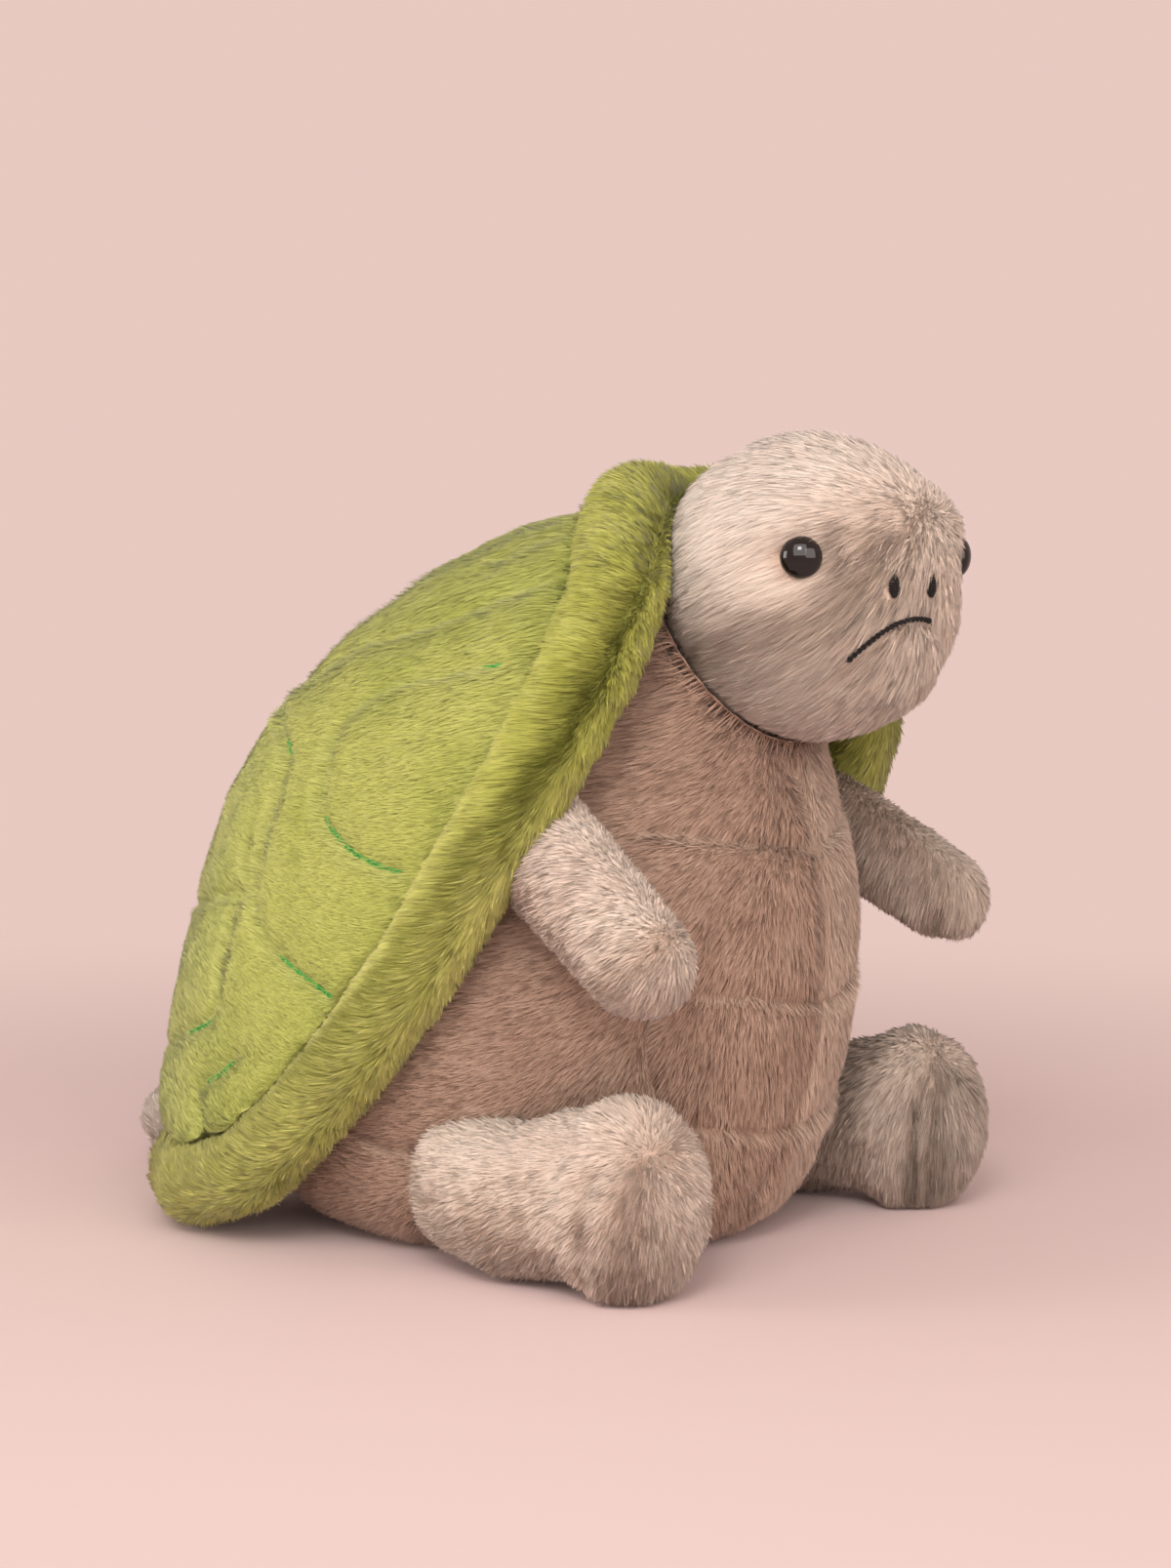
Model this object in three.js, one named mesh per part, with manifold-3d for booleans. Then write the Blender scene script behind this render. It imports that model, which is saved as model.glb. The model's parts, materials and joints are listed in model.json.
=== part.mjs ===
// A seated plush turtle, built from its sewn covers, fillings, bean bags, plastic eyes and quilted shell.
// Millimetres, +Z up. The turtle faces -Y, its right side is -X, and it sits on the plane Z = 0.
import * as THREE from 'three';
import { mergeVertices } from 'three/addons/utils/BufferGeometryUtils.js';
import Module from 'manifold-3d';

const wasm = await Module();
wasm.setup();

// Fabric, seams and clearances
const plush = 2.8; // backing and pressed pile of the body's plush
const shellPlush = 3; // the shell's plush
const seat = 0.3; // room between two pieces that touch
const slack = 0.5; // room between a cover and its filling
const overrun = 60; // how far a cutting body runs past what it cuts
const breach = 1; // how far a hollow runs through the surface that it opens at
const swingRoom = 0.5; // extra room between a limb and what it swings against
const weld = 1e-4; // points nearer than this are one point

// Torso: a full egg that leans forward, flat where it sits
const bodyWidth = 194;
const bellyReach = 122; // from the middle of the base to the front of the belly
const backReach = 116; // from the middle of the base to the back under the shell
const shoulderTop = 229.5; // height of the back of the neck seam
const beanLevel = 22; // top of the bean bag that weighs the base down

// Head: a ball with a flattened face, turned a little to its right
const headRadius = 50;
const headForward = 118;
const headUp = 218.7;
const headYaw = THREE.MathUtils.degToRad(8.5);
const faceFlat = 9; // how far the nose lies behind the ball
const browRise = 6;
const chinRise = 2.5;
// Where the head leaves the ball: the middle and the spread of each place, in radians
const flatPlace = { aside: 0, rise: 0, wide: 0.75, high: 0.6 };
const browPlace = { aside: 1, rise: 0.52, wide: 0.34, high: 0.2 };
const chinPlace = { aside: 0, rise: -0.62, wide: 0.5, high: 0.3 };
const fillingMouthRadius = 15; // the opening at the neck that the filling goes in by

// Neck: a narrow ring of plush between the torso's cup and the head
const neckTilt = THREE.MathUtils.degToRad(35); // rise of the neck's axis above the floor
const gussetThickness = 2;
const gussetInner = THREE.MathUtils.degToRad(24);
const gussetOuter = THREE.MathUtils.degToRad(49);

// Eyes: a domed button on a stem, held inside the head by a washer
const eyeRadius = 6.3;
const eyeDome = 4;
const eyeBack = 1;
const stemRadius = 1.7;
const stemLength = 12;
const washerRadius = 5.5;
const washerThickness = 1.4;
const washerPlay = 0.15;
const washerDrop = 1.3; // from the plush down to the washer, which lies flat under a round wall
const eyeAside = THREE.MathUtils.degToRad(55.5);
const eyeRise = THREE.MathUtils.degToRad(11);

// Embroidered nostrils and mouth
const nostrilWidth = 3.4;
const nostrilHeight = 7.4;
const nostrilDepth = 1.8;
const nostrilAside = THREE.MathUtils.degToRad(11);
const mouthThread = 1.7;
const mouthAside = THREE.MathUtils.degToRad(36);
const mouthTop = THREE.MathUtils.degToRad(-14);
const mouthEnd = THREE.MathUtils.degToRad(-30);
const mouthCurl = 2.2; // how sharply the line turns down at its ends

// Arms: blunt sausages that hang forward and out from under the rim
const armRootRadius = 18.5;
const armHandRadius = 16.2;
const armRoot = { aside: 79, forward: 54, up: 148 };
const armHand = { aside: 98, forward: 116, up: 107 };
const armStationShares = [-0.2, 0.1, 0.4, 0.7, 1]; // where the arm has its rings, from root to hand
const armSwing = [THREE.MathUtils.degToRad(-10), THREE.MathUtils.degToRad(25)];

// Legs: a short thigh that swells into a foot standing on its heel
const thighRadius = 22.5;
const ankleRadius = 26;
const footHalf = { aside: 28, forward: 23, up: 33 };
const hip = { aside: 78, forward: 34, up: 30 };
const ankle = { aside: 88, forward: 77, up: 25 };
const foot = { aside: 88, forward: 106, up: 31 };
const footBeanLevel = 15;
const footBeanForward = 84;
const thighStationShares = [0, 0.35, 0.7]; // where the thigh has its rings, from hip to ankle
const heelShare = 0.8; // width of the foot's hidden back end, of its full width
const legLift = [THREE.MathUtils.degToRad(-20), 0];
const limbMouthRadius = 9; // the opening at a limb's root that its filling goes in by
const limbMouthDepth = 10;
const restingCut = 0.5; // depth of the flat that a foot rests on

// Tail: a short stalk under the shell's edge, ending in a ball
const tailRoot = { forward: -80, up: 17 };
const tailBall = { forward: -162, up: 16.5 };
const tailBallRadius = 16;
const tailStalkRadius = 9.5;
const tailStationShares = [0, 0.3, 0.6]; // where the stalk has its rings
const tailWag = [THREE.MathUtils.degToRad(-20), THREE.MathUtils.degToRad(20)];

// Shell: a quilted dome of three layers, edged by a stuffed roll
const shellSide = 113; // half width between the rim's centre lines
const shellReach = 127; // from the middle of the base to the back of the dome
const shellTop = 250.5; // height of the rim's centre line behind the head
const wadding = 10;
const lining = 2.4;
const rimRadius = 12.5;
const rimPlush = 2.8;
const rimSunk = 5; // depth of the roll's centre line below the dome's surface
const rimSlot = THREE.MathUtils.degToRad(30); // half the gap between the edges of the roll's cover
const rimCrownShare = 0.6; // height of the point that the roll's slot faces, of shellTop

// How finely the surfaces are divided
const torsoSides = 20;
const headSides = 20;
const headRings = 12;
const armSides = 12;
const legSides = 14;
const tailSides = 10;
const domeArches = 13;
const domeSteps = 12;
const rimSteps = 30;
const rimSides = 12;
const foldSides = 7;
const ringSides = 20;
const eyeSides = 12;
const eyeSteps = 3;
const mouthSteps = 14;
const threadSides = 5;
const neckSides = 28;
const neckSteps = 3;
const cupRings = 16;
const nostrilSides = 8;
const nostrilRings = 5;
const endTurns = [0.45, 0.85, 1.2]; // where a rounded end has its rings, in radians from its middle
const footTurns = [-1.05, -0.55, 0, 0.5, 0.9, 1.25];
const tailTurns = [-0.85, -0.4, 0, 0.4, 0.85, 1.2];
const slopeStep = 1e-3; // step in the curves' own measure over which slopes are taken

// Torso sections as shares of the sizes above: the front point's forward and up, the back point's
// backward and up, and the half width.
const torsoShares = [
  [0.6, 0, 0.42, 0, 0.6],
  [0.695, 0.013, 0.54, 0.013, 0.73],
  [0.775, 0.042, 0.66, 0.042, 0.84],
  [0.85, 0.1, 0.78, 0.1, 0.93],
  [0.92, 0.2, 0.9, 0.2, 0.98],
  [0.97, 0.3, 0.975, 0.315, 1],
  [1, 0.41, 1, 0.44, 0.985],
  [1.002, 0.5, 0.93, 0.575, 0.95],
  [0.98, 0.577, 0.76, 0.71, 0.865],
  [0.948, 0.64, 0.47, 0.83, 0.745],
  [0.92, 0.69, 0.04, 0.925, 0.6],
  [0.905, 0.725, -0.33, 0.98, 0.47],
  [0.9, 0.75, -0.62, 1.005, 0.375],
  [0.905, 0.775, -0.68, 0.985, 0.31],
];

// The rim's centre line down one side, as shares of shellSide, shellReach and shellTop, and the
// crest of the dome above each of its points, as shares of shellReach and shellTop.
const rimShares = [
  [0, 0.46, 1],
  [0.265, 0.51, 1],
  [0.52, 0.65, 0.908],
  [0.761, 0.667, 0.766],
  [0.903, 0.583, 0.637],
  [0.956, 0.441, 0.515],
  [0.991, 0.268, 0.379],
  [1, 0.036, 0.242],
  [0.947, -0.268, 0.108],
  [0.796, -0.598, 0.055],
  [0.531, -0.79, 0.08],
  [0, -0.913, 0.176],
];
const crestShares = [
  [0.46, 1],
  [0.283, 0.976],
  [0, 0.942],
  [-0.346, 0.854],
  [-0.661, 0.732],
  [-0.85, 0.609],
  [-0.953, 0.465],
  [-0.992, 0.35],
  [-1, 0.27],
  [-0.984, 0.227],
  [-0.961, 0.198],
  [-0.913, 0.176],
];

const fabricRoughness = 0.95;
const looks = {
  body: { color: 0xbfa598, roughness: fabricRoughness },
  torso: { color: 0xa98b7d, roughness: fabricRoughness },
  shell: { color: 0x97a83c, roughness: fabricRoughness },
  filling: { color: 0xf2efe8, roughness: fabricRoughness },
  beans: { color: 0xd8d2c4, roughness: fabricRoughness },
  thread: { color: 0x15110f, roughness: 0.8 },
  eye: { color: 0x120d0c, roughness: 0.12 },
  washer: { color: 0x2a2a2a, roughness: 0.5 },
};
const turtle = new THREE.Group();

// A point given across, forward and up
function at(across, forward, up) {
  return new THREE.Vector3(across, -forward, up);
}

// Radius of a many-sided ring whose flats lie at a radius
function around(radius, ...sides) {
  return sides.reduce((reach, count) => reach / Math.cos(Math.PI / count), radius);
}

// Solids

function toSolid(geometry) {
  const bare = geometry.clone();
  bare.deleteAttribute('normal');
  bare.deleteAttribute('uv');
  const merged = mergeVertices(bare, weld);
  const vertProperties = new Float32Array(merged.attributes.position.array);
  const triVerts = new Uint32Array(merged.index.array);
  return new wasm.Manifold(new wasm.Mesh({ numProp: 3, vertProperties, triVerts }));
}

function toGeometry(solid) {
  const mesh = solid.getMesh();
  const geometry = new THREE.BufferGeometry();
  geometry.setAttribute('position', new THREE.BufferAttribute(new Float32Array(mesh.vertProperties), 3));
  geometry.setIndex(new THREE.BufferAttribute(new Uint32Array(mesh.triVerts), 1));
  geometry.computeVertexNormals();
  return geometry;
}

function add(name, shape, look) {
  const geometry = shape.isBufferGeometry ? shape : toGeometry(shape);
  const mesh = new THREE.Mesh(geometry, new THREE.MeshStandardMaterial({ ...look, metalness: 0 }));
  mesh.name = name;
  turtle.add(mesh);
}

// Closed surface from indexed points, turned so that its faces point out
function surface(points, index) {
  let volume = 0;
  for (let i = 0; i < index.length; i += 3) {
    const [a, b, c] = [points[index[i]], points[index[i + 1]], points[index[i + 2]]];
    volume += a.dot(b.clone().cross(c));
  }
  const turned = volume < 0 ? index.slice().reverse() : index;
  const geometry = new THREE.BufferGeometry().setFromPoints(points);
  geometry.setIndex(turned);
  geometry.computeVertexNormals();
  return geometry;
}

// Skin over a row of rings with equal numbers of points, each end closed at a point
function loft(rings, start, end) {
  const sides = rings[0].length;
  const points = [...rings.flat(), start, end];
  const index = [];
  for (let ring = 0; ring < rings.length - 1; ring += 1) {
    for (let side = 0; side < sides; side += 1) {
      const next = (side + 1) % sides;
      const [a, b] = [ring * sides + side, ring * sides + next];
      index.push(a, b, b + sides, a, b + sides, a + sides);
    }
  }
  const last = (rings.length - 1) * sides;
  for (let side = 0; side < sides; side += 1) {
    const next = (side + 1) % sides;
    index.push(points.length - 2, next, side);
    index.push(points.length - 1, last + side, last + next);
  }
  return surface(points, index);
}

// The same surface moved along its normals: inwards for a negative distance
function offset(geometry, distance) {
  const moved = geometry.clone();
  moved.computeVertexNormals();
  const { position, normal } = moved.attributes;
  for (let i = 0; i < position.count; i += 1) {
    const point = new THREE.Vector3().fromBufferAttribute(position, i);
    point.addScaledVector(new THREE.Vector3().fromBufferAttribute(normal, i), distance);
    position.setXYZ(i, point.x, point.y, point.z);
  }
  return moved;
}

function box(low, high) {
  const size = high.clone().sub(low);
  const middle = low.clone().add(high).divideScalar(2);
  const geometry = new THREE.BoxGeometry(size.x, size.y, size.z);
  return toSolid(geometry.translate(middle.x, middle.y, middle.z));
}

function below(level) {
  const wide = shellReach + overrun;
  return box(new THREE.Vector3(-wide, -wide, -overrun), new THREE.Vector3(wide, wide, level));
}

function mirrored(geometry) {
  const copy = geometry.clone().scale(-1, 1, 1);
  copy.setIndex(Array.from(copy.index.array).reverse());
  copy.computeVertexNormals();
  return copy;
}

// A solid turned about a line
function turned(solid, pivot, axis, angle) {
  const matrix = new THREE.Matrix4().makeTranslation(pivot.x, pivot.y, pivot.z);
  matrix.multiply(new THREE.Matrix4().makeRotationAxis(axis, angle));
  matrix.multiply(new THREE.Matrix4().makeTranslation(-pivot.x, -pivot.y, -pivot.z));
  return solid.transform(matrix.elements);
}

// Cuts a limb clear of a larger piece at rest and at both ends of its swing
function clearOver(limb, larger, joint) {
  const ends = joint.range.map((angle) => turned(larger, joint.pivot, joint.axis, -angle));
  return [larger, ...ends].reduce((rest, cut) => rest.subtract(cut), limb);
}

// A round bar whose axis runs both ways from a point
function barAt(point, axis, radius, length) {
  const form = new THREE.CylinderGeometry(radius, radius, length, ringSides);
  const turn = new THREE.Quaternion().setFromUnitVectors(new THREE.Vector3(0, 1, 0), axis);
  return toSolid(form.applyQuaternion(turn).translate(point.x, point.y, point.z));
}

// Shell: the dome is a fan of arches from the rim on one side over the back to the other

const rimCurve = new THREE.CatmullRomCurve3(
  rimShares.map(([side, forward, up]) => at(side * shellSide, forward * shellReach, up * shellTop)),
);
const crestCurve = new THREE.CatmullRomCurve3(
  crestShares.map(([forward, up]) => at(0, forward * shellReach, up * shellTop)),
);

function domePoint(along, across) {
  const rim = rimCurve.getPoint(along);
  const crest = crestCurve.getPoint(along);
  const rise = Math.sin(across);
  return new THREE.Vector3(
    rim.x * Math.cos(across),
    THREE.MathUtils.lerp(rim.y, crest.y, rise),
    THREE.MathUtils.lerp(rim.z, crest.z, rise),
  );
}

// Outward direction of the dome, from its slopes
function domeNormal(along, across) {
  const near = THREE.MathUtils.clamp(along, 4 * slopeStep, 1 - 4 * slopeStep);
  const slopeAlong = domePoint(near + slopeStep, across).sub(domePoint(near - slopeStep, across));
  const slopeAcross = domePoint(near, across + slopeStep).sub(domePoint(near, across - slopeStep));
  const normal = slopeAlong.cross(slopeAcross).normalize();
  return normal.y < 0 && normal.z < 0 ? normal.negate() : normal;
}

function domeLayerPoint(along, across, depth) {
  return domePoint(along, across).addScaledVector(domeNormal(along, across), -depth);
}

// One layer of the shell, between two depths below the dome's surface
function domeLayer(top, bottom) {
  const points = [];
  const place = (along, across, depth) => {
    const count = points.length;
    points.push(domeLayerPoint(along, across, depth));
    return count;
  };
  const rows = [top, bottom].map((depth) => {
    const arches = [new Array(domeSteps + 1).fill(place(0, Math.PI / 2, depth))];
    for (let arch = 1; arch < domeArches; arch += 1) {
      const steps = Array.from({ length: domeSteps + 1 }, (_, step) => (step / domeSteps) * Math.PI);
      arches.push(steps.map((across) => place(arch / domeArches, across, depth)));
    }
    arches.push(new Array(domeSteps + 1).fill(place(1, Math.PI / 2, depth)));
    return arches;
  });
  const index = [];
  const face = (a, b, c, flipped) => {
    if (a !== b && b !== c && a !== c) index.push(a, flipped ? c : b, flipped ? b : c);
  };
  const quad = (a, b, c, d, flipped) => {
    face(a, b, c, flipped);
    face(a, c, d, flipped);
  };
  const [upper, lower] = rows;
  for (let arch = 0; arch < domeArches; arch += 1) {
    for (let step = 0; step < domeSteps; step += 1) {
      for (const grid of rows) {
        const [near, far] = [grid[arch], grid[arch + 1]];
        quad(near[step], near[step + 1], far[step + 1], far[step], grid === lower);
      }
    }
    for (const step of [0, domeSteps]) {
      quad(upper[arch][step], upper[arch + 1][step], lower[arch + 1][step], lower[arch][step], step > 0);
    }
  }
  return surface(points, index);
}

// Centre line of the roll, all round the shell's edge
const rimLine = (() => {
  const half = [];
  const steps = rimSteps / 2;
  for (let step = 0; step <= steps; step += 1) {
    const along = step / steps;
    const aside = along === 0 || along === 1 ? Math.PI / 2 : 0;
    half.push(domeLayerPoint(along, aside, rimSunk));
  }
  const other = half.slice(1, -1).reverse();
  return [...half, ...other.map((point) => new THREE.Vector3(-point.x, point.y, point.z))];
})();

// Ring of a section round the rim; section points are turns and distances, turn 0 facing the dome
function rimSweep(section) {
  const crown = at(0, -shellReach / 2, shellTop * rimCrownShare);
  const count = rimLine.length;
  const points = [];
  rimLine.forEach((point, i) => {
    const tangent = rimLine[(i + 1) % count].clone().sub(rimLine[(i + count - 1) % count]).normalize();
    const inward = crown.clone().sub(point);
    inward.addScaledVector(tangent, -inward.dot(tangent)).normalize();
    const across = tangent.clone().cross(inward);
    for (const [turn, distance] of section) {
      const reach = point.clone().addScaledVector(inward, Math.cos(turn) * distance);
      points.push(reach.addScaledVector(across, Math.sin(turn) * distance));
    }
  });
  const sides = section.length;
  const index = [];
  for (let i = 0; i < count; i += 1) {
    for (let side = 0; side < sides; side += 1) {
      const next = (side + 1) % sides;
      const [a, b] = [i * sides + side, i * sides + next];
      const [c, d] = [((i + 1) % count) * sides + next, ((i + 1) % count) * sides + side];
      index.push(a, b, c, a, c, d);
    }
  }
  return surface(points, index);
}

function roundSection(radius, sides) {
  return Array.from({ length: sides }, (_, i) => [(i / sides) * 2 * Math.PI, radius]);
}

// The roll's cover is a folded strip, open towards the dome where it is sewn on
const foldTurns = Array.from(
  { length: foldSides + 1 },
  (_, i) => rimSlot + (i / foldSides) * 2 * (Math.PI - rimSlot),
);

function foldedSection(radius, thickness) {
  const outer = foldTurns.map((turn) => [turn, radius]);
  const inner = foldTurns.map((turn) => [turn, radius - thickness]).reverse();
  return [...outer, ...inner];
}

const shellDepth = shellPlush + seat + wadding + seat + lining;

function rimRoom(clearance) {
  return toSolid(rimSweep(roundSection(around(rimRadius + clearance, rimSides), rimSides)));
}

// The room that the shell takes up, with the space above it up to a height over its surface
function shellRoom(clearance, above) {
  return toSolid(domeLayer(-above, shellDepth + clearance)).add(rimRoom(clearance));
}

function buildShell() {
  const layers = [
    ['shell_cover', 0, shellPlush, looks.shell],
    ['shell_wadding', shellPlush + seat, shellPlush + seat + wadding, looks.filling],
    ['shell_lining', shellPlush + seat + wadding + seat, shellDepth, looks.shell],
  ];
  for (const [name, top, bottom, colour] of layers) {
    add(name, toSolid(domeLayer(top, bottom)).subtract(rimRoom(seat)), colour);
  }
  add('rim_cover', rimSweep(foldedSection(rimRadius, rimPlush)), looks.shell);
  const stuffing = foldTurns.map((turn) => [turn, rimRadius - rimPlush - seat]).reverse();
  add('rim_filling', rimSweep(stuffing), looks.filling);
}

// Torso

function torsoRing([frontOut, frontUp, backOut, backUp, half]) {
  const front = at(0, frontOut * bellyReach, frontUp * shoulderTop);
  const back = at(0, -backOut * backReach, backUp * shoulderTop);
  const middle = front.clone().add(back).divideScalar(2);
  const reach = back.clone().sub(middle);
  return Array.from({ length: torsoSides }, (_, i) => {
    const turn = (i / torsoSides) * 2 * Math.PI;
    const point = middle.clone().addScaledVector(reach, Math.sin(turn));
    point.x += (half * bodyWidth * Math.cos(turn)) / 2;
    return point;
  });
}

function middleOf(ring) {
  const sum = ring.reduce((total, point) => total.add(point), new THREE.Vector3());
  return sum.divideScalar(ring.length);
}

const torsoForm = (() => {
  const rings = torsoShares.map(torsoRing);
  return loft(rings, middleOf(rings[0]), middleOf(rings[rings.length - 1]));
})();

const headCentre = at(0, headForward, headUp);
const neckAxis = at(0, Math.cos(neckTilt), Math.sin(neckTilt));

const gussetRadius = around(headRadius + seat, neckSides);

// The room for the head and the neck's gusset
function cup(clearance) {
  const radius = around(gussetRadius + gussetThickness + clearance, neckSides, 2 * cupRings);
  const form = new THREE.SphereGeometry(radius, neckSides, cupRings);
  return toSolid(form.translate(headCentre.x, headCentre.y, headCentre.z));
}

function torsoVolume(inset, cupClearance) {
  const body = toSolid(offset(torsoForm, -inset)).subtract(shellRoom(seat + inset, overrun / 2));
  return body.subtract(cup(cupClearance));
}

function buildTorso() {
  const inside = torsoVolume(plush + slack, seat);
  add('torso_cover', torsoVolume(0, seat).subtract(torsoVolume(plush, -breach)), looks.torso);
  add('torso_filling', inside.subtract(below(beanLevel + seat)), looks.filling);
  add('base_bean_bag', inside.intersect(below(beanLevel)), looks.beans);
}

function buildNeck() {
  const arc = (radius, from, to) => Array.from({ length: neckSteps + 1 }, (_, i) => {
    const angle = THREE.MathUtils.lerp(from, to, i / neckSteps);
    return new THREE.Vector2(radius * Math.sin(angle), -radius * Math.cos(angle));
  });
  const profile = [
    ...arc(gussetRadius + gussetThickness, gussetInner, gussetOuter),
    ...arc(gussetRadius, gussetOuter, gussetInner),
  ];
  profile.push(profile[0].clone());
  const ring = new THREE.LatheGeometry(profile, neckSides);
  const turn = new THREE.Quaternion().setFromUnitVectors(new THREE.Vector3(0, 1, 0), neckAxis);
  ring.applyQuaternion(turn).translate(headCentre.x, headCentre.y, headCentre.z);
  add('neck_gusset', toSolid(ring), looks.torso);
}

// Head: distances from its centre in a direction given aside and up from the face's middle

// How much a place has to do with a direction: 1 in its middle, falling off to 0
function nearness(aside, rise, place) {
  return Math.exp(-(((aside - place.aside) / place.wide) ** 2) - ((rise - place.rise) / place.high) ** 2);
}

function headReach(aside, rise) {
  const side = Math.abs(aside);
  const flat = faceFlat * nearness(side, rise, flatPlace);
  const brow = browRise * nearness(side, rise, browPlace);
  const chin = chinRise * nearness(side, rise, chinPlace);
  return headRadius - flat + brow + chin;
}

// Point of the head's surface, or some way off it, aside positive to its left
function facePoint(aside, rise, away = 0) {
  const reach = headReach(aside, rise) + away;
  const direction = at(Math.sin(aside) * Math.cos(rise), Math.cos(aside) * Math.cos(rise), Math.sin(rise));
  return direction.multiplyScalar(reach).applyAxisAngle(new THREE.Vector3(0, 0, 1), -headYaw).add(headCentre);
}

const headForm = (() => {
  const rings = [];
  for (let ring = 1; ring < headRings; ring += 1) {
    const rise = -Math.PI / 2 + (ring / headRings) * Math.PI;
    const turns = Array.from({ length: headSides }, (_, i) => ((2 * i) / headSides - 1) * Math.PI);
    rings.push(turns.map((aside) => facePoint(aside, rise)));
  }
  return loft(rings, facePoint(0, -Math.PI / 2), facePoint(0, Math.PI / 2));
})();

// Direction square to the head's surface
function faceNormal(aside, rise) {
  const across = facePoint(aside + slopeStep, rise).sub(facePoint(aside - slopeStep, rise));
  const upwards = facePoint(aside, rise + slopeStep).sub(facePoint(aside, rise - slopeStep));
  return across.cross(upwards).normalize();
}

function placed(geometry, aside, rise, away) {
  const normal = faceNormal(aside, rise);
  const outward = normal.dot(facePoint(aside, rise).sub(headCentre)) < 0 ? normal.negate() : normal;
  const turn = new THREE.Quaternion().setFromUnitVectors(new THREE.Vector3(0, 1, 0), outward);
  const place = facePoint(aside, rise).addScaledVector(outward, away);
  return geometry.applyQuaternion(turn).translate(place.x, place.y, place.z);
}

function eyeButton(grow) {
  const dome = Array.from({ length: eyeSteps }, (_, i) => {
    const angle = (i / eyeSteps) * (Math.PI / 2);
    return new THREE.Vector2((eyeRadius + grow) * Math.cos(angle), (eyeDome + grow) * Math.sin(angle));
  });
  const profile = [
    new THREE.Vector2(0, -stemLength - grow),
    new THREE.Vector2(stemRadius + grow, -stemLength - grow),
    new THREE.Vector2(stemRadius + grow, -eyeBack - grow),
    new THREE.Vector2(eyeRadius + grow, -eyeBack - grow),
    ...dome,
    new THREE.Vector2(0, eyeDome + grow),
  ];
  return new THREE.LatheGeometry(profile, eyeSides);
}

function eyeWasher(grow) {
  const inner = stemRadius + washerPlay;
  const top = -eyeBack - plush - washerDrop;
  const corners = [
    [inner, top + grow],
    [inner, top - washerThickness - grow],
    [washerRadius + grow, top - washerThickness - grow],
    [washerRadius + grow, top + grow],
    [inner, top + grow],
  ];
  return new THREE.LatheGeometry(corners.map(([x, y]) => new THREE.Vector2(x, y)), eyeSides);
}

function nostril(grow) {
  const [wide, deep, high] = [nostrilWidth, nostrilDepth, nostrilHeight].map((size) => (size + grow) / 2);
  return new THREE.SphereGeometry(1, nostrilSides, nostrilRings).scale(wide, deep, high);
}

function mouth(radius) {
  const points = Array.from({ length: mouthSteps + 1 }, (_, i) => {
    const share = (i / mouthSteps) * 2 - 1;
    const rise = THREE.MathUtils.lerp(mouthTop, mouthEnd, Math.abs(share) ** mouthCurl);
    return facePoint(share * mouthAside, rise);
  });
  const section = new THREE.Shape().absarc(0, 0, radius, 0, 2 * Math.PI);
  const path = new THREE.CatmullRomCurve3(points);
  const options = { steps: mouthSteps, bevelEnabled: false, extrudePath: path, curveSegments: threadSides };
  return new THREE.ExtrudeGeometry(section, options);
}

function buildHead() {
  const threads = [];
  const buttons = [];
  const washers = [];
  for (const [side, sign] of [['right', -1], ['left', 1]]) {
    const eye = (shape, away = eyeBack) => placed(shape, sign * eyeAside, eyeRise, away);
    buttons.push(toSolid(eye(eyeButton(seat))));
    washers.push(toSolid(eye(eyeWasher(seat))));
    add(`eye_${side}`, toSolid(eye(eyeButton(0))), looks.eye);
    add(`eye_washer_${side}`, toSolid(eye(eyeWasher(0))), looks.washer);
    threads.push(toSolid(placed(nostril(seat * 2), sign * nostrilAside, 0, 0)));
    add(`nostril_${side}`, toSolid(placed(nostril(0), sign * nostrilAside, 0, 0)), looks.thread);
  }
  threads.push(toSolid(mouth(mouthThread / 2 + seat)));
  add('mouth_thread', toSolid(mouth(mouthThread / 2)), looks.thread);

  const throat = headCentre.clone().addScaledVector(neckAxis, -headRadius);
  const opening = barAt(throat, neckAxis, fillingMouthRadius, headRadius);
  let cover = toSolid(headForm).subtract(toSolid(offset(headForm, -plush))).subtract(opening);
  let filling = toSolid(offset(headForm, -plush - slack));
  for (const piece of [...buttons, ...threads]) cover = cover.subtract(piece);
  for (const piece of [...buttons, ...washers]) filling = filling.subtract(piece);
  add('head_cover', cover, looks.body);
  add('head_filling', filling, looks.filling);
}

// Limbs: rings square to a line of points, with a rounded end

function limbForm(stations, sides) {
  const rings = stations.map(({ point, aside, up, along }) => {
    const across = new THREE.Vector3(0, 0, 1).cross(along).normalize();
    const upward = along.clone().cross(across).normalize();
    return Array.from({ length: sides }, (_, i) => {
      const turn = (i / sides) * 2 * Math.PI;
      const reach = point.clone().addScaledVector(across, Math.cos(turn) * aside);
      return reach.addScaledVector(upward, Math.sin(turn) * up);
    });
  });
  const first = stations[0];
  const last = stations[stations.length - 1];
  return loft(rings, first.start ?? first.point, last.end ?? last.point);
}

function armForm() {
  const root = at(armRoot.aside, armRoot.forward, armRoot.up);
  const hand = at(armHand.aside, armHand.forward, armHand.up);
  const along = hand.clone().sub(root).normalize();
  const length = hand.distanceTo(root);
  const stations = armStationShares.map((share) => {
    const radius = THREE.MathUtils.lerp(armRootRadius, armHandRadius, Math.max(share, 0));
    return { point: root.clone().addScaledVector(along, share * length), aside: radius, up: radius, along };
  });
  for (const angle of endTurns) {
    const point = hand.clone().addScaledVector(along, armHandRadius * Math.sin(angle));
    const radius = armHandRadius * Math.cos(angle);
    stations.push({ point, aside: radius, up: radius, along });
  }
  stations[stations.length - 1].end = hand.clone().addScaledVector(along, armHandRadius);
  return { form: limbForm(stations, armSides), root };
}

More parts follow.
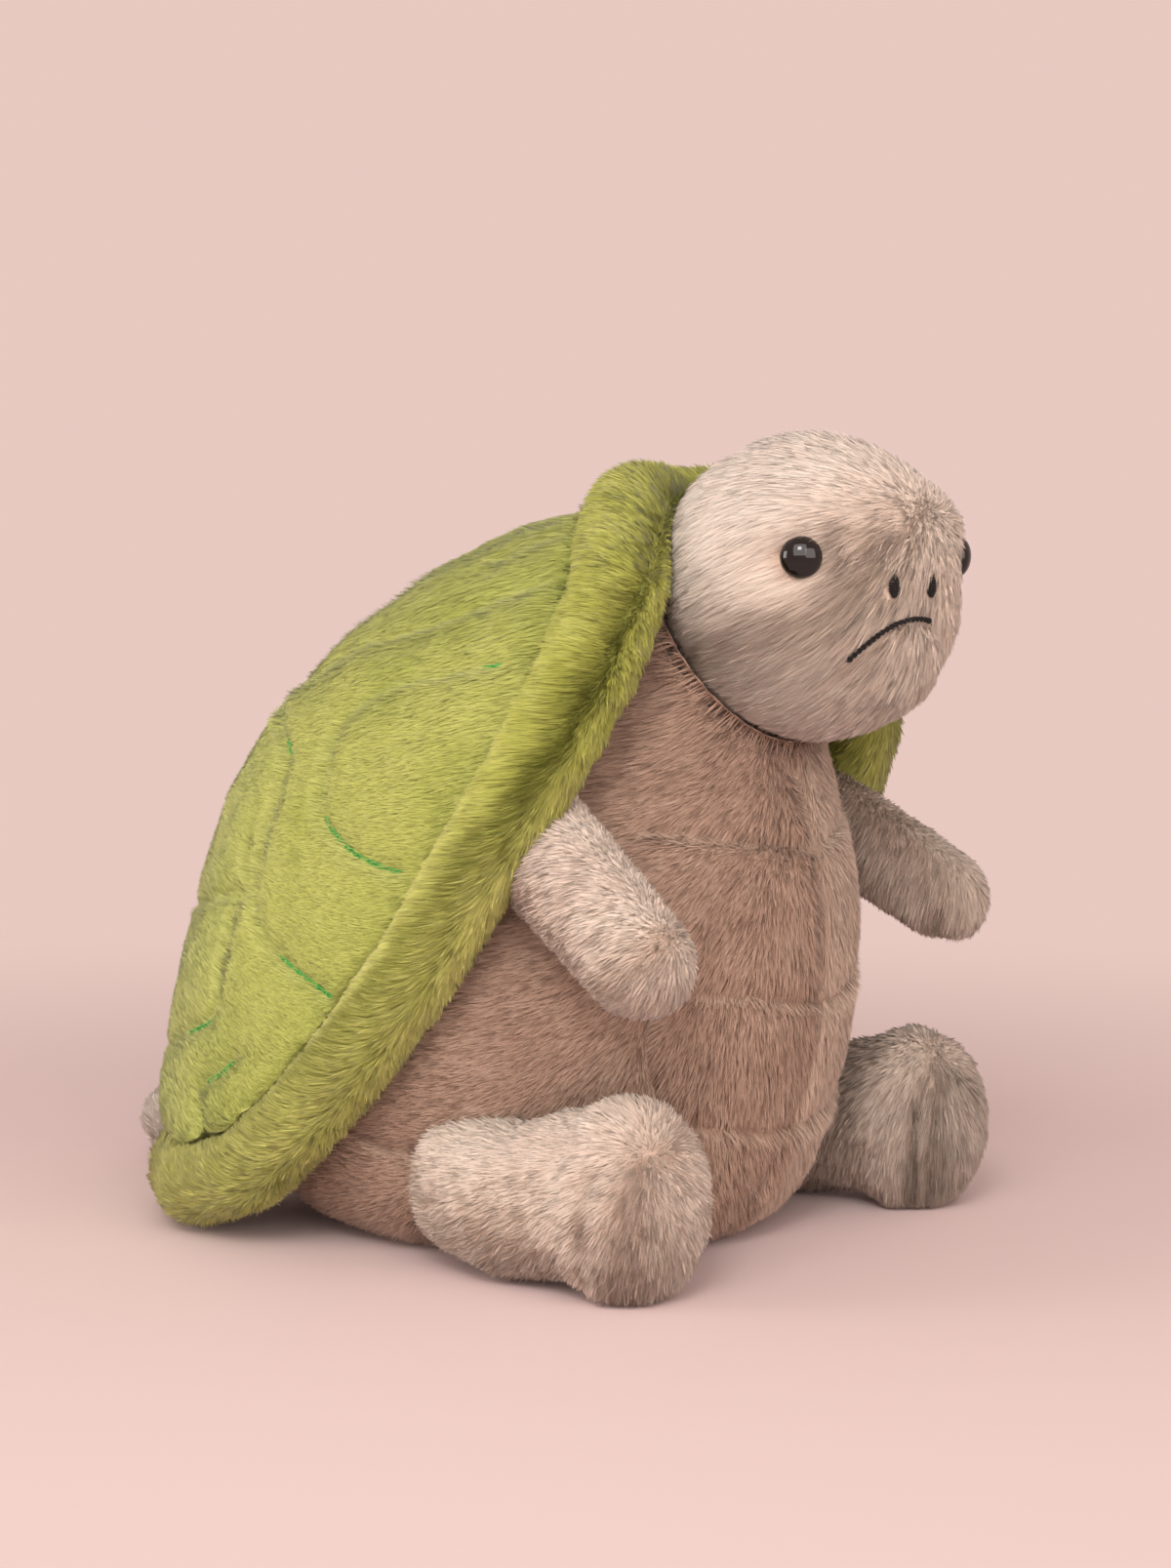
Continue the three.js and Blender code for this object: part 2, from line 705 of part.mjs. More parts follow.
function legForm() {
  const points = [hip, ankle, foot].map(({ aside, forward, up }) => at(aside, forward, up));
  const [hipPoint, anklePoint, footPoint] = points;
  const thighAlong = anklePoint.clone().sub(hipPoint).normalize();
  const forward = at(0, 1, 0);
  const stations = thighStationShares.map((share) => {
    const radius = THREE.MathUtils.lerp(thighRadius, ankleRadius, share);
    return { point: hipPoint.clone().lerp(anklePoint, share), aside: radius, up: radius, along: thighAlong };
  });
  for (const angle of footTurns) {
    const point = footPoint.clone().addScaledVector(forward, footHalf.forward * Math.sin(angle));
    const swell = Math.cos(angle);
    const share = angle < 0 ? Math.max(swell, heelShare) : swell;
    stations.push({ point, aside: footHalf.aside * share, up: footHalf.up * share, along: forward });
  }
  stations[stations.length - 1].end = footPoint.clone().addScaledVector(forward, footHalf.forward);
  const form = limbForm(stations, legSides).translate(0, 0, -restingCut);
  return { form, root: hipPoint };
}

function tailForm() {
  const root = at(0, tailRoot.forward, tailRoot.up);
  const end = at(0, tailBall.forward, tailBall.up);
  const along = end.clone().sub(root).normalize();
  const stations = tailStationShares.map((share) => (
    { point: root.clone().lerp(end, share), aside: tailStalkRadius, up: tailStalkRadius, along }
  ));
  for (const angle of tailTurns) {
    const radius = tailBallRadius * Math.cos(angle);
    const point = end.clone().addScaledVector(along, tailBallRadius * Math.sin(angle));
    stations.push({ point, aside: radius, up: radius, along });
  }
  stations[stations.length - 1].end = end.clone().addScaledVector(along, tailBallRadius);
  return { form: limbForm(stations, tailSides), root };
}

// A limb's joint: where a level line out of the torso to the limb's root leaves the torso, and the
// direction square to the torso there
function seamOf(root, range) {
  const outward = root.clone().setZ(0).normalize();
  const caster = new THREE.Raycaster(new THREE.Vector3(0, 0, root.z), outward);
  const skin = new THREE.MeshBasicMaterial({ side: THREE.DoubleSide });
  const [hit] = caster.intersectObject(new THREE.Mesh(torsoForm, skin));
  return { pivot: hit.point.clone(), axis: hit.face.normal.clone(), range };
}

// A limb cut clear of the torso and the shell, and flat where it rests
function limbVolume(form, inset, joint) {
  const room = seat + swingRoom + inset;
  const larger = toSolid(offset(torsoForm, room)).add(shellRoom(room, room));
  return clearOver(toSolid(offset(form, -inset)), larger, joint).subtract(below(inset));
}

function limbCover(form, joint) {
  const opening = barAt(joint.pivot, joint.axis, limbMouthRadius, 2 * limbMouthDepth);
  return limbVolume(form, 0, joint).subtract(limbVolume(form, plush, joint)).subtract(opening);
}

// Both limbs of a pair: the left one's form, and its mirror image for the right, whose joint is
// turned over so that both swing up or down alike
function pairOf({ form, root }, range) {
  const left = seamOf(root, range);
  const right = { pivot: left.pivot.clone(), axis: left.axis.clone().negate(), range };
  right.pivot.x *= -1;
  right.axis.x *= -1;
  return [
    { side: 'left', form, joint: left },
    { side: 'right', form: mirrored(form), joint: right },
  ];
}

function buildArms(arms) {
  for (const { side, form, joint } of arms) {
    add(`arm_cover_${side}`, limbCover(form, joint), looks.body);
    add(`arm_filling_${side}`, limbVolume(form, plush + slack, joint), looks.filling);
  }
}

function buildLegs(legs) {
  const wide = shellSide + overrun;
  const sole = (grow) => box(
    at(-wide, footBeanForward - grow + 2 * overrun, -overrun),
    at(wide, footBeanForward - grow, footBeanLevel + grow),
  );
  for (const { side, form, joint } of legs) {
    const inner = limbVolume(form, plush + slack, joint);
    add(`leg_cover_${side}`, limbCover(form, joint), looks.body);
    add(`leg_filling_${side}`, inner.subtract(sole(seat)), looks.filling);
    add(`foot_bean_bag_${side}`, inner.intersect(sole(0)), looks.beans);
  }
}

function buildTail(form, joint) {
  const opening = barAt(joint.pivot, at(0, 1, 0), tailStalkRadius - 2 * plush, 2 * limbMouthDepth);
  const cover = limbVolume(form, 0, joint).subtract(limbVolume(form, plush, joint));
  add('tail_cover', cover.subtract(opening), looks.body);
  add('tail_filling', limbVolume(form, plush + slack, joint), looks.filling);
}

const arms = pairOf(armForm(), armSwing);
const legs = pairOf(legForm(), legLift);
const tail = tailForm();
const tailJoint = { ...seamOf(tail.root, tailWag), axis: new THREE.Vector3(0, 0, 1) };

buildTorso();
buildShell();
buildNeck();
buildHead();
buildArms(arms);
buildLegs(legs);
buildTail(tail.form, tailJoint);

// The origin is under the middle of the whole turtle
const extent = new THREE.Box3().setFromObject(turtle);
turtle.position.y = -(extent.min.y + extent.max.y) / 2;
turtle.updateMatrixWorld(true);

export default turtle;
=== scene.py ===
"""A seated plush turtle: stuffed covers, a quilted shell with a rolled edge, pile, button eyes and thread."""
import json
import math

import bpy
import numpy as np
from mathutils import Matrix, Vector
from mathutils.bvhtree import BVHTree

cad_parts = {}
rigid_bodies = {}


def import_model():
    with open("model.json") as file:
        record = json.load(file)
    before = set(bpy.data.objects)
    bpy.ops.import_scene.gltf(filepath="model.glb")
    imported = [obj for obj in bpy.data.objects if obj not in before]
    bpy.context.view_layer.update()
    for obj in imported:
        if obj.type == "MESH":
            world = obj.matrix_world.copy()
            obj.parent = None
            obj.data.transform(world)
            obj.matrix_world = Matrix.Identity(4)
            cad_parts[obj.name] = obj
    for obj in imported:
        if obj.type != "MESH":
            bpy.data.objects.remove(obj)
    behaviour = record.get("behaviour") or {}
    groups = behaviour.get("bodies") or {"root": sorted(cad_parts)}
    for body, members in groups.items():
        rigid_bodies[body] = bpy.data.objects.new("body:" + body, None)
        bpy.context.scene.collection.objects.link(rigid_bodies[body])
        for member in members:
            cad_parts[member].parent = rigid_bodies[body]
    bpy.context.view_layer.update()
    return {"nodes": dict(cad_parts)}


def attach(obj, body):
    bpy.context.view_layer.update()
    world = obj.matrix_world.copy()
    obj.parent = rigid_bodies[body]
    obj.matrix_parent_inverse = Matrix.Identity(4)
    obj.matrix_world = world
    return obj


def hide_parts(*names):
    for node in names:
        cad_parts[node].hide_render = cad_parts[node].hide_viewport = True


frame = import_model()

MM = 0.001  # the tables are in millimetres and the scene is in metres
scene = bpy.context.scene

# ---- Camera: the photograph's, from the turtle's right and a little above its middle
camera_data = bpy.data.cameras.new("camera")
camera_data.lens = 72.0
camera_data.sensor_width = 36.0
camera_data.sensor_fit = "AUTO"
camera = bpy.data.objects.new("camera", camera_data)
camera.location = (-0.8689, -0.6553, 0.228)
camera.rotation_euler = (math.radians(90 - 4.155), 0, math.radians(-54.5))
scene.collection.objects.link(camera)
scene.camera = camera

# ---- Colours, as they look in plain light
# Of each plush: its root, darker in part as painted shade deep in the pile, its tip, its warm patches and its
# frosted ends, which also serve as painted light where the pile is made paler
BODY = ((0.60, 0.42, 0.32), (0.83, 0.67, 0.555), (0.74, 0.53, 0.43), (0.88, 0.78, 0.69))
TORSO = ((0.25, 0.14, 0.095), (0.60, 0.405, 0.305), (0.44, 0.26, 0.19), (0.80, 0.62, 0.49))
SHELL = ((0.34, 0.36, 0.065), (0.57, 0.585, 0.155), (0.44, 0.50, 0.09), (0.78, 0.78, 0.30))
RIM = ((0.30, 0.28, 0.045), (0.53, 0.53, 0.11), (0.38, 0.38, 0.07), (0.80, 0.76, 0.26))
# Of the small parts: the darker and the lighter of their two tones
BUTTON_BLACK = ((0.002, 0.0015, 0.0015), (0.010, 0.005, 0.004))
THREAD_BLACK = ((0.003, 0.0025, 0.0025), (0.014, 0.011, 0.010))
THREAD_GREEN = ((0.03, 0.33, 0.06), (0.09, 0.50, 0.10))
WASHER_BLACK = ((0.018, 0.018, 0.018), (0.03, 0.03, 0.032))
FLOOR_PINK = (0.83, 0.655, 0.64)
BACKDROP_PINK = (0.80, 0.585, 0.53)
ROOM_LIGHT, ROOM_STRENGTH = (1.0, 0.80, 0.73), 0.45

# ---- The head's form, in millimetres and radians: its frame's, less the depth of the pile
HEAD = np.array((0.0, -126.54, 218.7))
HEAD_RADIUS = 47.4
HEAD_YAW = math.radians(8.5)
EYE_ASIDE, EYE_RISE = math.radians(55.5), math.radians(11)
EYE_RADIUS, EYE_DOME, EYE_BACK, EYE_LIFT = 6.6, 4.2, 2.5, 1.3
NOSTRIL_ASIDE = {-1: math.radians(-14.5), 1: math.radians(11)}
NOSTRIL_WIDE, NOSTRIL_HIGH, NOSTRIL_DEEP, NOSTRIL_LIFT = 1.75, 3.8, 1.5, 0.5
NOSTRIL_THREADS = 9
MOUTH_ASIDE, MOUTH_TOP, MOUTH_END = math.radians(36), math.radians(-14), math.radians(-30)
CLEFT_ASIDE, CLEFT_RISE = (-0.56, -0.62), (0.20, 0.36)

# ---- The arms, in millimetres: the left shoulder, both hands, and how thick and how blunt an arm is
SHOULDER = (79.0, -62.5, 148.0)
HAND = {"left": (96.0, -119.5, 110.5), "right": (-98.0, -124.5, 107.0)}
SHOULDER_THICK, HAND_THICK, ARM_BLUNT = 18.0, 16.0, 17.0
SIGN = {"left": 1, "right": -1}

# ---- Seams, as points near the surface. The shell's are on its right half, mirrored for the left
SHELL_SEAMS = {
    "ridge": [(-62, -67, 223), (-67, -52, 217), (-69, -33, 210), (-65, -9, 204), (-59, 17, 198), (-52, 40, 186),
              (-38, 62, 178)],
    "flank": [(-83, -63, 196), (-83, -45, 193), (-83, -23, 189), (-81, -10, 185), (-81, -1, 180), (-84, 4, 172),
              (-89, 4, 166), (-92, 4, 155), (-96, 2, 144), (-98, -4, 140), (-102, -12, 136), (-105, -23, 132),
              (-106, -39, 129)],
    "hip": [(-38, 62, 178), (-58, 52, 172), (-73, 37, 168), (-80, 30, 160), (-85, 31, 146), (-89, 34, 131),
            (-93, 34, 119), (-99, 28, 105), (-104, 15, 98), (-109, 1, 93), (-111, -13, 87)],
    "hip_spur": [(-86, 46, 132), (-88, 42, 124), (-93, 36, 117)],
    "tail_side": [(-93, 36, 117), (-89, 44, 112), (-91, 47, 106), (-94, 46, 97), (-96, 47, 90), (-100, 45, 74),
                  (-93, 64, 67), (-62, 88, 60), (-30, 104, 62)],
    "corner": [(-108, 32, 62), (-105, 40, 56), (-101, 52, 51), (-101, 52, 43), (-100, 50, 33)],
    "top_spur": [(-45, -59, 237), (-50, -40, 233)],
    "spine": [(-38, 62, 178), (0, 66, 178)],
    "saddle": [(-93, 36, 117), (-70, 66, 110), (-45, 88, 104), (0, 100, 102)],
    "tail_seam": [(-30, 104, 62), (0, 108, 62)],
    "back_corner": [(-45, 88, 104), (-38, 98, 84), (-30, 104, 62), (-34, 104, 44)],
    "crown": [(-38, 62, 178), (-30, 30, 204), (-34, -10, 226), (-30, -50, 240)],
}
# The lengths of seam on which the thread lies open between the pile: seam, first share, last share
OPEN_THREAD = [("flank", 0.70, 1.0), ("hip", 0.82, 1.0), ("hip", 0.27, 0.31), ("tail_side", 0.36, 0.50),
               ("corner", 0.1, 0.5), ("flank", 0.0, 0.06)]
BELLY_SEAMS = {
    "middle": [(-1, -121, 160), (1, -124, 146), (1, -127, 134), (0, -130, 122), (1, -130, 109), (1, -130, 95),
               (4, -128, 81), (4, -125, 65), (1, -122, 51), (-3, -118, 38), (-6, -112, 20)],
    "chest": [(-54, -101, 142), (-42, -111, 140), (-31, -118, 138), (-16, -124, 136), (0, -127, 135),
              (20, -124, 138), (40, -112, 143), (56, -99, 147)],
    "waist": [(-56, -109, 92), (-40, -118, 91), (-23, -125, 88), (2, -128, 84), (25, -124, 87), (44, -115, 93),
              (62, -103, 99)],
    "lap": [(-50, -104, 49), (-33, -113, 46), (-21, -116, 44), (-4, -119, 42), (14, -117, 44), (34, -112, 47),
            (52, -103, 50)],
    "right_side": [(-56, -109, 92), (-62, -103, 72), (-50, -104, 49)],
    "left_side": [(56, -99, 147), (64, -101, 120), (62, -103, 99), (60, -102, 74), (52, -103, 50)],
    "flank_tuck": [(-94, -14, 39), (-92, -26, 37), (-90, -34, 36), (-89, -40, 34)],
}
SOLE_SEAMS = {
    "right": [(-111, -122, 44), (-113, -119, 40), (-115, -118, 30), (-113, -116, 18), (-108, -112, 5)],
    "left": [(69, -130, 42), (68, -129, 37), (68, -128, 23), (74, -124, 7)],
}
# The middles from which lines are laid on each surface
SHELL_HEART = np.array((0.0, -10.0, 110.0))
TORSO_HEART = np.array((0.0, -20.0, 95.0))
LEG_HEART = (88.0, -108.0, 31.0)  # the left leg's
WHORL = {"right": np.array((-100.0, -131.0, 50.0)), "left": np.array((88.0, -134.0, 46.0))}
# The roll's centre line, as shares of its width, of its length and of its height
RIM_SHARES = [(0, .46, 1), (.265, .51, 1), (.52, .65, .908), (.761, .667, .766), (.903, .583, .637),
              (.956, .441, .515), (.991, .268, .379), (1, .036, .242), (.947, -.268, .108), (.796, -.598, .055),
              (.531, -.79, .08), (0, -.913, .176)]
RIM_WIDE, RIM_LONG, RIM_TALL, RIM_SHIFT = 113, 127, 250.5, 8.54

FLOOR_GAP = 0.4  # the lowest that a cover reaches
FILL_FRAMES = 20  # of cloth simulation
BLADE_FOOT = 0.25  # the depth of a fibre's root, and the lowest that a fibre reaches
MOST_TRIANGLES = 190000  # in one piece of pile


# ---- Selecting, copying and reading meshes

def hold(*pieces):
    """Leaves only these pieces selected, the first one active."""
    bpy.ops.object.select_all(action="DESELECT")
    for piece in pieces:
        piece.select_set(True)
    bpy.context.view_layer.objects.active = pieces[0]


def on_whole(piece, operation, **settings):
    """Runs one of the mesh operations on all of a piece."""
    hold(piece)
    bpy.ops.object.mode_set(mode="EDIT")
    bpy.ops.mesh.select_all(action="SELECT")
    operation(**settings)
    bpy.ops.object.mode_set(mode="OBJECT")


def face_out(piece):
    on_whole(piece, bpy.ops.mesh.normals_make_consistent, inside=False)


def copy_of(name, nodes):
    """One new piece from the frame's solids, with its loose triangles merged."""
    hold(*[frame["nodes"][node] for node in nodes])
    bpy.ops.object.duplicate()
    if len(nodes) > 1:
        bpy.ops.object.join()
    piece = bpy.context.view_layer.objects.active
    bpy.ops.object.parent_clear(type="CLEAR_KEEP_TRANSFORM")
    piece.name = piece.data.name = name
    for key in list(piece.keys()):
        del piece[key]
    piece.data.materials.clear()
    on_whole(piece, bpy.ops.mesh.remove_doubles, threshold=0.01 * MM)
    return piece


def new_piece(name, points, faces):
    """A new piece from points in millimetres."""
    mesh = bpy.data.meshes.new(name)
    mesh.from_pydata((np.asarray(points) * MM).tolist(), [], faces)
    piece = bpy.data.objects.new(name, mesh)
    scene.collection.objects.link(piece)
    hold(piece)
    return piece


def ball(name, segments, rings, radius=1.0):
    """A new sphere about the origin, to be shaped. Blender's own has its faces in another order on each run."""
    turn = np.arange(segments) * 2 * math.pi / segments
    rise = np.repeat(math.pi / 2 - np.arange(1, rings) * math.pi / rings, segments)
    around = np.tile(np.stack([np.cos(turn), np.sin(turn)], axis=1), (rings - 1, 1)) * np.cos(rise)[:, None]
    points = np.concatenate([np.column_stack([around, np.sin(rise)]), [(0, 0, 1), (0, 0, -1)]]) * radius
    top, last = (rings - 1) * segments, (rings - 2) * segments
    faces = []
    for near in range(segments):
        far = (near + 1) % segments
        faces += [(top, near, far), (top + 1, last + far, last + near)]
        for row in range(0, last, segments):
            faces.append((row + near, row + segments + near, row + segments + far, row + far))
    return new_piece(name, points, faces)


def join_object(piece, body, nodes):
    """Puts a finished piece on its body and in the place of its solids."""
    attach(piece, body)
    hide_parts(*nodes)
    hold(piece)
    bpy.ops.object.shade_smooth()


def rows_of(items, key, width, kind=np.float32):
    """One row of numbers for each of a mesh's points, edges or triangles."""
    flat = np.empty(len(items) * width, kind)
    items.foreach_get(key, flat)
    return flat.reshape(-1, width)


def points_of(piece):
    """The piece's points in millimetres."""
    return rows_of(piece.data.vertices, "co", 3).astype(float) / MM


def put_points(piece, points):
    piece.data.vertices.foreach_set("co", (points * MM).astype(np.float32).ravel())
    piece.data.update()


def normals_of(piece):
    return rows_of(piece.data.vertex_normals, "vector", 3).astype(float)


def triangles_of(piece):
    piece.data.calc_loop_triangles()
    return rows_of(piece.data.loop_triangles, "vertices", 3, np.int32)


def tree_of(piece):
    return BVHTree.FromPolygons(points_of(piece).tolist(), triangles_of(piece).tolist())


def surface_of(piece):
    return tree_of(piece), normals_of(piece), triangles_of(piece)


def neighbour_mean(piece):
    """How to take, at each of a piece's points, the mean of a value over the points next to it."""
    edges, count = rows_of(piece.data.edges, "vertices", 2, np.int32), len(piece.data.vertices)
    ends, mates = np.concatenate([edges, edges[:, ::-1]]).T
    degree = np.maximum(np.bincount(ends, minlength=count), 1)[:, None]

    def mean_of(values):
        return np.stack([np.bincount(ends, values[mates, axis], count) for axis in range(3)], axis=1) / degree

    return mean_of


def unit(vectors):
    return vectors / np.maximum(np.linalg.norm(vectors, axis=-1, keepdims=True), 1e-9)


def across_of(ways, axes):
    """What is left of each way when its share along an axis is taken out."""
    return ways - axes * (ways * axes).sum(1, keepdims=True)


def tangent(normals, way):
    return unit(across_of(np.broadcast_to(way, normals.shape), normals))


# ---- Noise and distances

class Noise:
    """Smooth random vectors in space, the same on every run."""

    def __init__(self, seed, size=40):
        self.size = size
        self.table = np.random.default_rng(seed).uniform(-1, 1, (size, size, size, 3)).astype(np.float32)

    def at(self, points, cell):
        place = points / cell + 500.0  # far enough off that no place is below zero
        low = np.floor(place).astype(np.int64)
        part = place - low
        part = part * part * (3 - 2 * part)
        total = np.zeros((len(points), 3), np.float32)
        for corner in range(8):
            step = np.array([(corner >> axis) & 1 for axis in range(3)])
            share = np.prod(np.where(step, part, 1 - part), axis=1)
            spot = (low + step) % self.size
            total += self.table[spot[:, 0], spot[:, 1], spot[:, 2]] * share[:, None]
        return total


def resampled(line, step=1.5):
    """A line's points, evenly spaced."""
    line = np.asarray(line, float)
    reach = np.concatenate([[0], np.cumsum(np.linalg.norm(np.diff(line, axis=0), axis=1))])
    count = max(2, int(reach[-1] / step) + 1)
    spots = np.linspace(0, reach[-1], count)
    return np.stack([np.interp(spots, reach, line[:, axis]) for axis in range(3)], axis=1)


def rounded(line, times=2):
    """A line with its corners cut."""
    line = np.asarray(line, float)
    for _ in range(times):
        near, far = line[:-1], line[1:]
        middle = np.stack([near * 0.75 + far * 0.25, near * 0.25 + far * 0.75], axis=1).reshape(-1, 3)
        line = np.concatenate([line[:1], middle, line[-1:]])
    return line


def laid_on(tree, heart, line):
    """A line's points moved onto a surface, along lines from its heart."""
    laid = []
    for point in line:
        way = unit(point - heart)
        hit = tree.ray_cast(Vector(heart + way * 400), Vector(-way))[0]
        hit = tree.ray_cast(Vector(heart + way * 400), Vector(-way))[0]  # from well outside the piece
        laid.append(np.array(hit) if hit is not None else point)
    return np.array(laid)


def laid_lines(piece, heart, lines):
    """Seams with their corners rounded, laid on a piece."""
    tree = tree_of(piece)
    return [laid_on(tree, heart, resampled(rounded(line))) for line in lines]


def off_lines(points, lines, reach=30):
    """Each point's distance to the nearest of some lines, and how far above it the point lies."""
    best, above = np.full(len(points), 1e9), np.zeros(len(points))
    for line in lines:
        low, high = line.min(0) - reach, line.max(0) + reach
        near = np.where(((points > low) & (points < high)).all(1))[0]
        if not len(near):
            continue
        for start, end in zip(line[:-1], line[1:]):
            along = end - start
            share = np.clip(((points[near] - start) @ along) / max(along @ along, 1e-9), 0, 1)
            away = points[near] - start - share[:, None] * along
            gap = np.linalg.norm(away, axis=1)
            closer = gap < best[near]
            best[near[closer]], above[near[closer]] = gap[closer], away[closer, 2]
    return best, above


def distance_to(points, lines):
    return off_lines(points, lines)[0]


def fall(distance, reach):
    return np.exp(-((distance / reach) ** 2))


def ease(values, low, high):
    share = np.clip((values - low) / (high - low), 0, 1)
    return share * share * (3 - 2 * share)


# ---- Stuffed covers

def subdivide(piece):
    modifier = piece.modifiers.new("Subsurf", "SUBSURF")
    modifier.levels = modifier.render_levels = 1
    hold(piece)
    bpy.ops.object.modifier_apply(modifier=modifier.name)


def blow_up(piece, pressure, cap, pinned=None):
    """Fills a cover as stuffing does, with no point moved further than the cap."""
    start = points_of(piece)
    cloth = piece.modifiers.new("Filling", "CLOTH")
    settings = cloth.settings
    settings.quality = 4
    settings.mass = 0.2
    settings.tension_stiffness = settings.compression_stiffness = 12
    settings.shear_stiffness = 4
    settings.bending_stiffness = 0.3
    settings.use_pressure = True
    settings.uniform_pressure_force = pressure
    settings.effector_weights.gravity = 0
    cloth.collision_settings.use_self_collision = False
    if pinned is not None:
        group = piece.vertex_groups.new(name="stitched")
        group.add([int(i) for i in np.where(pinned)[0]], 1.0, "REPLACE")
        settings.vertex_group_mass = "stitched"
    cloth.point_cache.frame_start, cloth.point_cache.frame_end = 1, FILL_FRAMES
    for number in range(1, FILL_FRAMES + 1):
        scene.frame_set(number)
    moved = points_of(piece.evaluated_get(bpy.context.evaluated_depsgraph_get())) - start
    piece.modifiers.remove(cloth)
    piece.vertex_groups.clear()
    scene.frame_set(1)
    length = np.linalg.norm(moved, axis=1, keepdims=True)
    put_points(piece, start + moved * np.minimum(1, cap / np.maximum(length, 1e-6)))


def relax(piece, rounds):
    """Takes the flats and ridges out of a cover without shrinking it."""
    points, mean_of = points_of(piece), neighbour_mean(piece)
    for turn in range(2 * rounds):
        points = points + (0.5 if turn % 2 == 0 else -0.51) * (mean_of(points) - points)
    put_points(piece, points)


def swell(piece, distance):
    put_points(piece, points_of(piece) + normals_of(piece) * distance)


def stuffed(name, nodes, body, voxel, pressure, cap, rounds, grow, seams=None, heart=None, form=None):
    """A stuffed piece in the place of some solids, or of a form like theirs: remeshed, filled and smoothed."""
    piece = form or copy_of(name, nodes)
    piece.data.remesh_voxel_size = voxel * MM
    hold(piece)
    bpy.ops.object.voxel_remesh()
    pinned = None
    if seams:
        pinned = distance_to(points_of(piece), laid_lines(piece, heart, seams)) < voxel * 0.7
    blow_up(piece, pressure, cap, pinned)
    subdivide(piece)
    relax(piece, rounds)
    swell(piece, grow)
    points = points_of(piece)
    points[:, 2] = np.maximum(points[:, 2], FLOOR_GAP)
    put_points(piece, points)
    join_object(piece, body, nodes)
    return piece


def is_inside(tree, point):
    """Counts the walls that a straight way out of a closed form goes through."""
    way, walls = Vector((0.31, 0.52, 0.796)), 0
    hit = tree.ray_cast(Vector(point), way)[0]
    while hit is not None:
        walls += 1
        hit = tree.ray_cast(hit + way * 0.01, way)[0]
    return walls % 2 == 1


def height_above(tree, normals, faces, points, reach=60.0):
    """How far each point lies outside a surface, and the surface's own direction there."""
    gaps, ways = np.full(len(points), reach), np.zeros((len(points), 3))
    for spot, point in enumerate(points):
        hit, _, face, gap = tree.find_nearest(point, reach)
        if hit is not None:
            way = normals[faces[face]].sum(0)
            away = point - np.array(hit)
            inside = away @ way < 0 and is_inside(tree, point)
            gaps[spot], ways[spot] = (-gap if inside else gap), way
    return gaps, unit(ways)


def pressed(piece, others, clear=0.2, turns=4, calming=6):
    """Gives way where the piece would run into its neighbours, as a soft limb does."""
    start = points_of(piece)
    points, mean_of = start, neighbour_mean(piece)
    surfaces = [surface_of(other) for other in others]
    for turn in range(turns):
        for surface in surfaces:
            gaps, ways = height_above(*surface, points)
            points = points + ways * np.maximum(clear - gaps, 0)[:, None]
        if turn < turns - 1:
            shift = points - start
            for _ in range(calming):
                shift = 0.5 * shift + 0.5 * mean_of(shift)
            points = start + shift
    put_points(piece, points)


def seamed(piece, lines, depth, width, pucker):
    """Draws sewn channels into a cover: a narrow one, with a wide soft dip around it."""
    points, normals = points_of(piece), normals_of(piece)
    gap = distance_to(points, lines)
    sink = depth * fall(gap, width) + pucker * fall(gap, width * 4)
    put_points(piece, points - normals * sink[:, None])


# ---- Materials

class Number:
    """A number in a material, on which Python's signs add the nodes."""

    def __init__(self, recipe, socket):
        self.recipe, self.socket = recipe, socket

    def made(self, operation, first, second):
        return self.recipe.number("ShaderNodeMath", {"operation": operation}, {0: first, 1: second})

    def __add__(self, other):
        return self.made("ADD", self, other)

    def __mul__(self, other):
        return self.made("MULTIPLY", self, other)

    def __rsub__(self, other):
        return self.made("SUBTRACT", other, self)

    __radd__ = __add__


class Recipe:
    """A material and the nodes that it is made of."""

    def __init__(self, name):
        self.material = bpy.data.materials.new(name)
        self.material.use_nodes = True
        self.tree = self.material.node_tree
        self.shader = next(n for n in self.tree.nodes if n.type == "BSDF_PRINCIPLED")

    def feed(self, socket, value):
        if isinstance(value, Number):
            value = value.socket
        if isinstance(value, bpy.types.NodeSocket):
            self.tree.links.new(value, socket)
        elif socket.type == "RGBA":
            socket.default_value = (*value, 1)
        else:
            socket.default_value = value

    def node(self, kind, settings=None, values=None):
        made = self.tree.nodes.new(kind)
        for key, value in (settings or {}).items():
            setattr(made, key, value)
        for key, value in (values or {}).items():
            self.feed(made.inputs[key], value)
        return made

    def number(self, kind, settings=None, values=None, output=0):
        return Number(self, self.node(kind, settings, values).outputs[output])

    def place(self):
        return self.node("ShaderNodeTexCoord").outputs["Object"]

    def noise(self, scale, detail=2.0, roughness=0.5):
        values = {"Vector": self.place(), "Scale": scale, "Detail": detail, "Roughness": roughness}
        return self.number("ShaderNodeTexNoise", {"noise_dimensions": "3D"}, values)

    def mix(self, share, first, second):
        return self.node("ShaderNodeMix", {"data_type": "RGBA"}, {0: share, 6: first, 7: second}).outputs[2]

    def spread(self, value, low, high):
        values = {"Value": value, "From Min": low, "From Max": high}
        return self.number("ShaderNodeMapRange", {"interpolation_type": "SMOOTHSTEP"}, values)

    def bump(self, height, distance, strength, **facing):
        values = {"Height": height, "Distance": distance, "Strength": strength, **facing}
        return self.node("ShaderNodeBump", None, values).outputs[0]

    def own_facing(self):
        """A fibre's own facing for its back too, so that both of its sides take the same light."""
        seen = self.node("ShaderNodeNewGeometry")
        turn = 1 - Number(self, seen.outputs["Backfacing"]) * 2
        values = {0: seen.outputs["Normal"], "Scale": turn}
        return self.node("ShaderNodeVectorMath", {"operation": "SCALE"}, values).outputs[0]

    def finish(self, **sockets):
        for key, value in sockets.items():
            self.feed(self.shader.inputs[key.replace("_", " ")], value)
        return self.material


def darker(colour, share):
    return tuple(share * part for part in colour)


